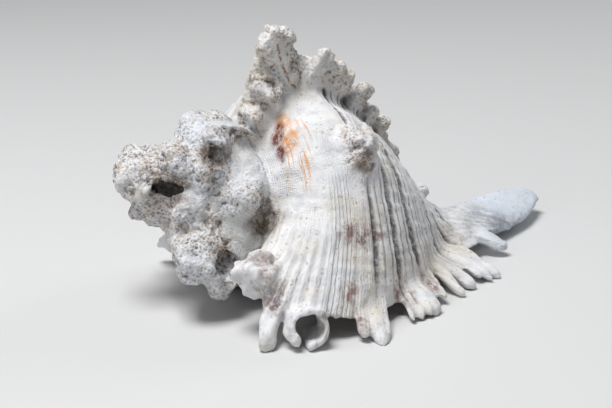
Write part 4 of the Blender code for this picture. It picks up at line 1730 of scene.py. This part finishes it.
@dataclass(frozen=True)
class ChalkFinish:
    """Chalky worn shell: white lime with pores, mauve and orange stains, brown deposit, and painted
    shade in grooves, troughs, hollows and valleys.

    A Ramp is a value where the step starts, one where it ends, and the strengths there. Noises
    are size, detail and roughness, streaks are width, change along the growth and detail, and
    specks are size, the share of cells left bare and strength. Sizes are in metres.
    """

    white: Colour = (0.76, 0.76, 0.775, 1.0)
    cream: Colour = (0.66, 0.62, 0.54, 1.0)
    # grey: random grey mottling, and painted shade in the troughs of the weave.
    grey: Colour = (0.50, 0.51, 0.54, 1.0)
    blue: Colour = (0.60, 0.67, 0.76, 1.0)
    # groove: near black, painted shade in the grooves.
    groove: Colour = (0.085, 0.078, 0.085, 1.0)
    # pore: dark brown of the pores and their dirt, also used for painted shade in small hollows and
    # where troughs cross.
    pore: Colour = (0.17, 0.115, 0.080, 1.0)
    tan: Colour = (0.47, 0.39, 0.31, 1.0)
    # brown: painted shade in the hollows, under the overhangs and in broad valleys, with brown deposit.
    brown: Colour = (0.11, 0.070, 0.042, 1.0)
    mauve: Colour = (0.24, 0.150, 0.135, 1.0)
    maroon: Colour = (0.15, 0.030, 0.018, 1.0)
    orange: Colour = (0.74, 0.33, 0.10, 1.0)
    nacre: Colour = (0.70, 0.58, 0.52, 1.0)
    rust: Colour = (0.34, 0.17, 0.085, 1.0)
    ochre: Colour = (0.48, 0.36, 0.20, 1.0)
    seam: Colour = (0.30, 0.115, 0.055, 1.0)
    outer_roughness: Colour = (0.80, 0.80, 0.80, 1.0)
    inner_roughness: Colour = (0.42, 0.42, 0.42, 1.0)
    cream_patches: Patches = Patches(0.022, 3.0, 0.55, (0.42, 0.70, 0.0, 0.80))
    grey_patches: Patches = Patches(0.006, 4.0, 0.55, (0.46, 0.70, 0.0, 0.55))
    tan_patches: Patches = Patches(0.005, 4.0, 0.55, (0.42, 0.68, 0.0, 0.75))
    groove_breaks: Patches = Patches(0.0016, 3.0, 0.70, (0.30, 0.62, 0.45, 1.0))
    thread_patches: Patches = Patches(0.010, 4.0, 0.65, (0.40, 0.62, 0.10, 1.0))
    pitted_pores: float = 0.55
    blueness: float = 0.75
    # Painted shade: greying of the weave's troughs, and dark dots where they cross.
    trough_shade: Ramp = (0.0, -1.0, 0.0, 0.34)
    dot_shade: float = 0.20
    # Painted shade in small hollows, stronger where the surface is porous and holds dirt in its pits.
    dips: Ramp = (0.15, 1.0, 0.0, 1.0)
    dip_shade: Ramp = (0.0, 0.4, 0.35, 0.75)
    groove_edge: Ramp = (0.14, 0.66, 0.0, 1.0)
    # Painted shade: how dark the grooves are painted.
    groove_shade: float = 0.92
    # Painted shade: how broad valleys darken to brown.
    valley_edge: Ramp = (0.20, 1.0, 0.0, 1.0)
    valley_shade: float = 0.45
    specular: float = 0.30
    threads: float = 142.0
    thread_shift: float = 12.0
    growth_lines: float = 215.0
    growth_shift: float = 34.0
    thread_height: float = 0.55
    growth_height: float = 0.45
    worn_hides: float = 1.2
    dense_grooves: float = 104.0
    dense_shift: float = 3.0
    dense_height: float = 2.0
    dense_trough: Pair = (0.1, -0.9)
    dense_from: Pair = (0.246, 0.258)
    dense_to: Pair = (0.312, 0.300)
    dense_turn: Pair = (-0.15, -0.09)
    dot_edge: Pair = (-1.35, -1.95)
    drift: Point = (0.004, 4.0, 0.65)
    ragged: Point = (0.0030, 5.0, 0.75)
    mauve_streaks: Point = (0.010, 0.25, 2.0)
    orange_streaks: Point = (0.007, 0.08, 1.0)
    streak_rough: float = 0.6
    mauve_ragged: Ramp = (0.40, 0.58, 0.15, 0.95)
    mauve_lanes: Ramp = (0.34, 0.56, 0.25, 1.0)
    brown_ragged: Ramp = (0.34, 0.62, 0.20, 0.85)
    orange_lanes: Ramp = (0.56, 0.64, 0.0, 0.85)
    orange_ragged: Ramp = (0.36, 0.58, 0.10, 0.95)
    maroon_ragged: Ramp = (0.30, 0.55, 0.35, 1.0)
    seam_line: Ramp = (0.0040, 0.0012, 0.0, 0.90)
    ochre_specks: Point = (0.0026, 0.66, 0.50)
    rust_specks: Point = (0.0017, 0.78, 0.55)
    speck_wave: float = 0.6
    speck_wander: float = 1.1
    speck_edge: Pair = (0.86, 0.66)
    nacre_paint: float = 0.85
    pore_sizes: tuple[Pair, ...] = ((0.0015, 0.62), (0.0010, 0.45))
    pore_edge: Pair = (0.60, 0.42)
    pore_wave: float = 0.7
    pore_wander: float = 0.30
    pore_wear: Pair = (0.05, 0.8)
    grain: Point = (0.0013, 4.0, 0.70)
    pit_size: float = 0.0012
    pit_edge: Pair = (0.15, 0.55)
    weave_height: float = 0.30
    grain_height: float = 0.75
    bump_strength: float = 0.85
    bump_distance: float = 0.00045

    def material(self) -> bpy.types.Material:
        """Builds the material.

        Returns:
            Colour in layers from broad mottling to stains, pores, painted shade in hollows and grooves,
            and a fine bump.
        """
        s = Sketch("chalky_shell")
        worn, pitted, inside = s.mask("worn"), s.mask("pitted"), s.mask("inside")
        porous = s.math("MAXIMUM", worn, s.times(pitted, self.pitted_pores))
        weave, dots = self.weave(s, s.math("ADD", s.times(worn, self.worn_hides), inside))
        colour = s.mix(self.cream_patches.strength(s), self.white, self.cream)
        colour = s.mix(self.grey_patches.strength(s), colour, self.grey)
        colour = s.mix(s.times(s.mask("cool"), self.blueness), colour, self.blue)
        # Painted shade: the low parts of the weave are greyed.
        colour = s.mix(s.ramp(weave, *self.trough_shade), colour, self.grey)
        # Painted shade: dark dots where the troughs cross.
        colour = s.mix(s.times(dots, self.dot_shade), colour, self.pore)
        colour = s.mix(s.times(worn, self.tan_patches.strength(s)), colour, self.tan)
        colour = self.stains(s, colour, inside)
        colour = self.pores(s, colour, porous)
        # Small hollows darkened with the pore colour: painted shade, with dirt in the pits where the
        # surface is porous.
        dip = s.times(s.ramp(s.mask("cavity"), *self.dips), s.ramp(porous, *self.dip_shade))
        colour = s.mix(dip, colour, self.pore)
        # Painted shade: near black in the cord grooves and between the threads.
        groove = s.times(s.ramp(s.mask("groove"), *self.groove_edge), self.groove_breaks.strength(s))
        colour = s.mix(s.times(groove, self.groove_shade), colour, self.groove)
        # Painted shade: broad valleys under the smoothed surface are darkened brown.
        valley = s.ramp(s.mask("valley"), *self.valley_edge)
        colour = s.mix(s.times(valley, self.valley_shade), colour, self.brown)
        s.feed(s.shader.inputs["Base Color"], colour)
        s.feed(s.shader.inputs["Roughness"], s.mix(inside, self.outer_roughness, self.inner_roughness))
        s.shader.inputs["Specular IOR Level"].default_value = self.specular
        self.bump(s, porous, weave)
        return s.material

    def weave(self, s: Sketch, off: object) -> tuple[bpy.types.NodeSocket, bpy.types.NodeSocket]:
        """Fine spiral threads crossed by growth lines, read from each point's place on the spiral.

        Threads are a sine of the share of the outline, growth lines a sine of the age. Both are
        shifted by noise and fade in and out in patches, and there is a dot where troughs cross;
        the troughs are painted grey and the dots dark as painted shade.
        Under the shoulder a band of denser grooves runs round the last part of the whorl.

        Args:
            s: the material in the making.
            off: strength of what hides the threads.

        Returns:
            The height from about -1 to 1, and the strength of the dots.
        """
        parts = s.node("ShaderNodeSeparateXYZ")
        s.feed(parts.inputs[0], s.spiral())
        share, turn = parts.outputs["X"], parts.outputs["Y"]
        drift = s.noise(*self.drift)
        patch = self.thread_patches.strength(s)
        plain = s.math("SUBTRACT", 1.0, off, clamp=True)

        def wave(value: object, count: float, shift: float) -> bpy.types.NodeSocket:
            """A sine along a value, shifted by the drifting noise."""
            turned = s.math("MULTIPLY_ADD", value, 2 * np.pi * count, s.times(drift, shift))
            return s.math("SINE", turned)

        thread = wave(share, self.threads, self.thread_shift)
        growth = wave(turn, self.growth_lines, self.growth_shift)
        dense = wave(share, self.dense_grooves, self.dense_shift)
        window = s.times(s.ramp(share, *self.dense_from), s.ramp(share, *self.dense_to))
        window = s.times(window, s.ramp(turn, *self.dense_turn))
        woven = s.math("MULTIPLY_ADD", growth, self.growth_height, s.times(thread, self.thread_height))
        trough = s.times(s.ramp(dense, *self.dense_trough), window)
        height = s.math("SUBTRACT", s.times(woven, patch), s.times(trough, self.dense_height))
        dots = s.times(s.ramp(s.math("ADD", thread, growth), *self.dot_edge), patch)
        return s.times(height, plain), s.times(dots, plain)

    def stains(self, s: Sketch, colour: object, inside: object) -> bpy.types.NodeSocket:
        """Mauve bands, brown patches of painted shade with deposit in them, maroon and orange stains,
        rust and ochre specks, the inner wall.

        Args:
            s: the material in the making.
            colour: the colour so far.
            inside: strength of the inner wall.

        Returns:
            The colour with the stains.
        """
        ragged = s.noise(*self.ragged)

        def lanes(size: float, along: float, detail: float) -> bpy.types.NodeSocket:
            """Noise drawn out along the growth, for streaks.

            Args:
                size: width of a streak, as a share of the outline.
                along: how fast it changes along the growth.
                detail: how many finer layers it has.

            Returns:
                The noise, from 0 to 1.
            """
            stretch = s.node("ShaderNodeVectorMath", operation="MULTIPLY")
            s.feed(stretch.inputs[0], s.spiral())
            stretch.inputs[1].default_value = (1.0, along, 0.0)
            return s.noise(size, detail, self.streak_rough, stretch.outputs[0])

        mauve_lanes = s.ramp(lanes(*self.mauve_streaks), *self.mauve_lanes)
        orange_lanes = s.ramp(lanes(*self.orange_streaks), *self.orange_lanes)
        for name, strength, paint in (
                ("mauve", s.times(s.ramp(ragged, *self.mauve_ragged), mauve_lanes), self.mauve),
                # brown: painted shade in the hollows and under the overhangs, with brown deposit in it.
                ("brown", s.ramp(ragged, *self.brown_ragged), self.brown),
                ("streaks", orange_lanes, self.orange),
                ("orange", s.ramp(ragged, *self.orange_ragged), self.orange),
                ("maroon", s.ramp(ragged, *self.maroon_ragged), self.maroon)):
            colour = s.mix(s.times(s.mask(name), strength), colour, paint)
        colour = s.mix(s.ramp(s.mask("seam"), *self.seam_line), colour, self.seam)
        for (size, bare, strength), paint in ((self.ochre_specks, self.ochre),
                                              (self.rust_specks, self.rust)):
            spots = s.cells(size)
            wavy = s.noise(size * self.speck_wave, 3.0, 0.7)
            edge = s.math("MULTIPLY_ADD", wavy, self.speck_wander, spots.outputs["Distance"])
            chosen = s.math("GREATER_THAN", s.own_chance(spots), bare)
            speck = s.times(s.ramp(edge, *self.speck_edge), chosen)
            colour = s.mix(s.times(speck, strength), colour, paint)
        return s.mix(s.times(inside, self.nacre_paint), colour, self.nacre)

    def pores(self, s: Sketch, colour: object, porous: object) -> bpy.types.NodeSocket:
        """Small uneven pores of two sizes, where the surface is worn.

        Args:
            s: the material in the making.
            colour: the colour so far.
            porous: strength of the porous surface.

        Returns:
            The colour with the pores.
        """
        for size, most in self.pore_sizes:
            wavy = s.noise(size * self.pore_wave, 2.0)
            edge = s.math("MULTIPLY_ADD", wavy, self.pore_wander, s.cells(size).outputs["Distance"])
            worn = s.ramp(porous, *self.pore_wear, 0.0, most)
            colour = s.mix(s.times(s.ramp(edge, *self.pore_edge), worn), colour, self.pore)
        return colour

    def bump(self, s: Sketch, porous: object, weave: object) -> None:
        """Fine grain everywhere, threads on the whorls, and pores where the surface is worn.

        Args:
            s: the material in the making.
            porous: strength of the porous surface.
            weave: height of the threads.
        """
        grain = s.noise(*self.grain)
        pits = s.ramp(s.cells(self.pit_size).outputs["Distance"], *self.pit_edge)
        height = s.math("MULTIPLY_ADD", weave, self.weave_height, s.times(grain, self.grain_height))
        height = s.math("ADD", height, s.times(pits, porous))
        bump = s.node("ShaderNodeBump")
        bump.inputs["Strength"].default_value = self.bump_strength
        bump.inputs["Distance"].default_value = self.bump_distance
        s.feed(bump.inputs["Height"], height)
        s.feed(s.shader.inputs["Normal"], bump.outputs["Normal"])


@dataclass(frozen=True)
class Softbox:
    """A square area light: where it stands, what it faces, its side and its power."""

    name: str
    place: Point
    target: Point
    size: float
    power: float

    def hang(self) -> None:
        """Adds the light, with its back turned away from the target."""
        light = bpy.data.lights.new(self.name, "AREA")
        light.size = self.size
        light.energy = self.power
        away = np.array(self.place) - np.array(self.target)
        side = np.cross((0.0, 1.0, 0.001), away)
        axes = [side, np.cross(away, side), away]
        turn = np.column_stack([axis / np.linalg.norm(axis) for axis in axes])
        put(bpy.data.objects.new(self.name, light), np.array(self.place), turn)


def put(obj: bpy.types.Object, place: Array, turn: Array) -> None:
    """Places a light or camera, turned by a rotation matrix, and links it."""
    obj.matrix_world = Matrix.Translation(place.tolist()) @ Matrix(turn.tolist()).to_4x4()
    bpy.context.scene.collection.objects.link(obj)


@dataclass(frozen=True)
class Studio:
    """Plain pale floor, soft light from above and the camera at the photograph's angle."""

    floor_half: float = 3.0
    floor_colour: Colour = (0.62, 0.62, 0.62, 1.0)
    view_down: float = 17.0
    pixel: float = 0.190 / 546
    camera_offset: Point = (178.5, -14.9, 1575.0)
    image_width: float = 612.0
    sensor: float = 36.0
    floor_roughness: float = 0.9
    sky_colour: Colour = (0.9, 0.95, 1.0, 1.0)
    sky_strength: float = 0.15
    lights: tuple[Softbox, ...] = (
        Softbox("top_light", (-0.28, -0.22, 1.10), (0.0, -0.01, 0.03), 0.50, 14.5),
        Softbox("front_light", (-0.9, -1.2, 0.75), (0.0, 0.0, 0.03), 0.6, 2.6),
        Softbox("rim_light", (1.0, 0.8, 0.7), (0.0, 0.0, 0.04), 0.6, 4.0),
    )

    def build(self, pose: Pose) -> None:
        """Adds the floor, the lights and the camera.

        Args:
            pose: where the shell lies.
        """
        self.floor()
        self.world()
        for softbox in self.lights:
            softbox.hang()
        self.camera(pose)
        view = bpy.context.scene.view_settings
        view.view_transform = "Standard"
        view.look = "None"

    def floor(self) -> None:
        """A plain floor at height 0."""
        half = self.floor_half
        corners = np.array([(-half, -half, 0), (half, -half, 0), (half, half, 0), (-half, half, 0)])
        floor = MeshWork.make("floor", [(corners, np.array([(0, 1, 2), (0, 2, 3)]))])
        s = Sketch("pale_floor")
        s.shader.inputs["Base Color"].default_value = self.floor_colour
        s.shader.inputs["Roughness"].default_value = self.floor_roughness
        floor.data.materials.append(s.material)

    def world(self) -> None:
        """A dim even sky."""
        world = bpy.data.worlds.new("studio")
        world.use_nodes = True
        sky = world.node_tree.nodes["Background"]
        sky.inputs["Color"].default_value = self.sky_colour
        sky.inputs["Strength"].default_value = self.sky_strength
        bpy.context.scene.world = world

    def camera(self, pose: Pose) -> None:
        """A camera that looks down by view_down, placed from the shell's apex in picture pixels.

        Args:
            pose: where the shell lies.
        """
        down = np.radians(self.view_down)
        turn = np.array([[1, 0, 0], [0, np.sin(down), -np.cos(down)], [0, np.cos(down), np.sin(down)]])
        place = np.array(pose.apex) + turn @ (np.array(self.camera_offset) * self.pixel)
        lens = bpy.data.cameras.new("camera")
        lens.sensor_width = self.sensor
        lens.lens = self.camera_offset[2] / self.image_width * self.sensor
        camera = bpy.data.objects.new("camera", lens)
        put(camera, place, turn)
        bpy.context.scene.camera = camera


def main() -> None:
    """Builds the shell, dresses it and sets up the studio."""
    logging.basicConfig(level=logging.INFO, format="%(message)s")
    skin = ShellSkin()
    shell = skin.build()
    shell.data.materials.clear()
    shell.data.materials.append(ChalkFinish().material())
    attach(shell, BODY)
    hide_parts(NODE)
    Studio().build(skin.pose)


if __name__ == "__main__":
    main()
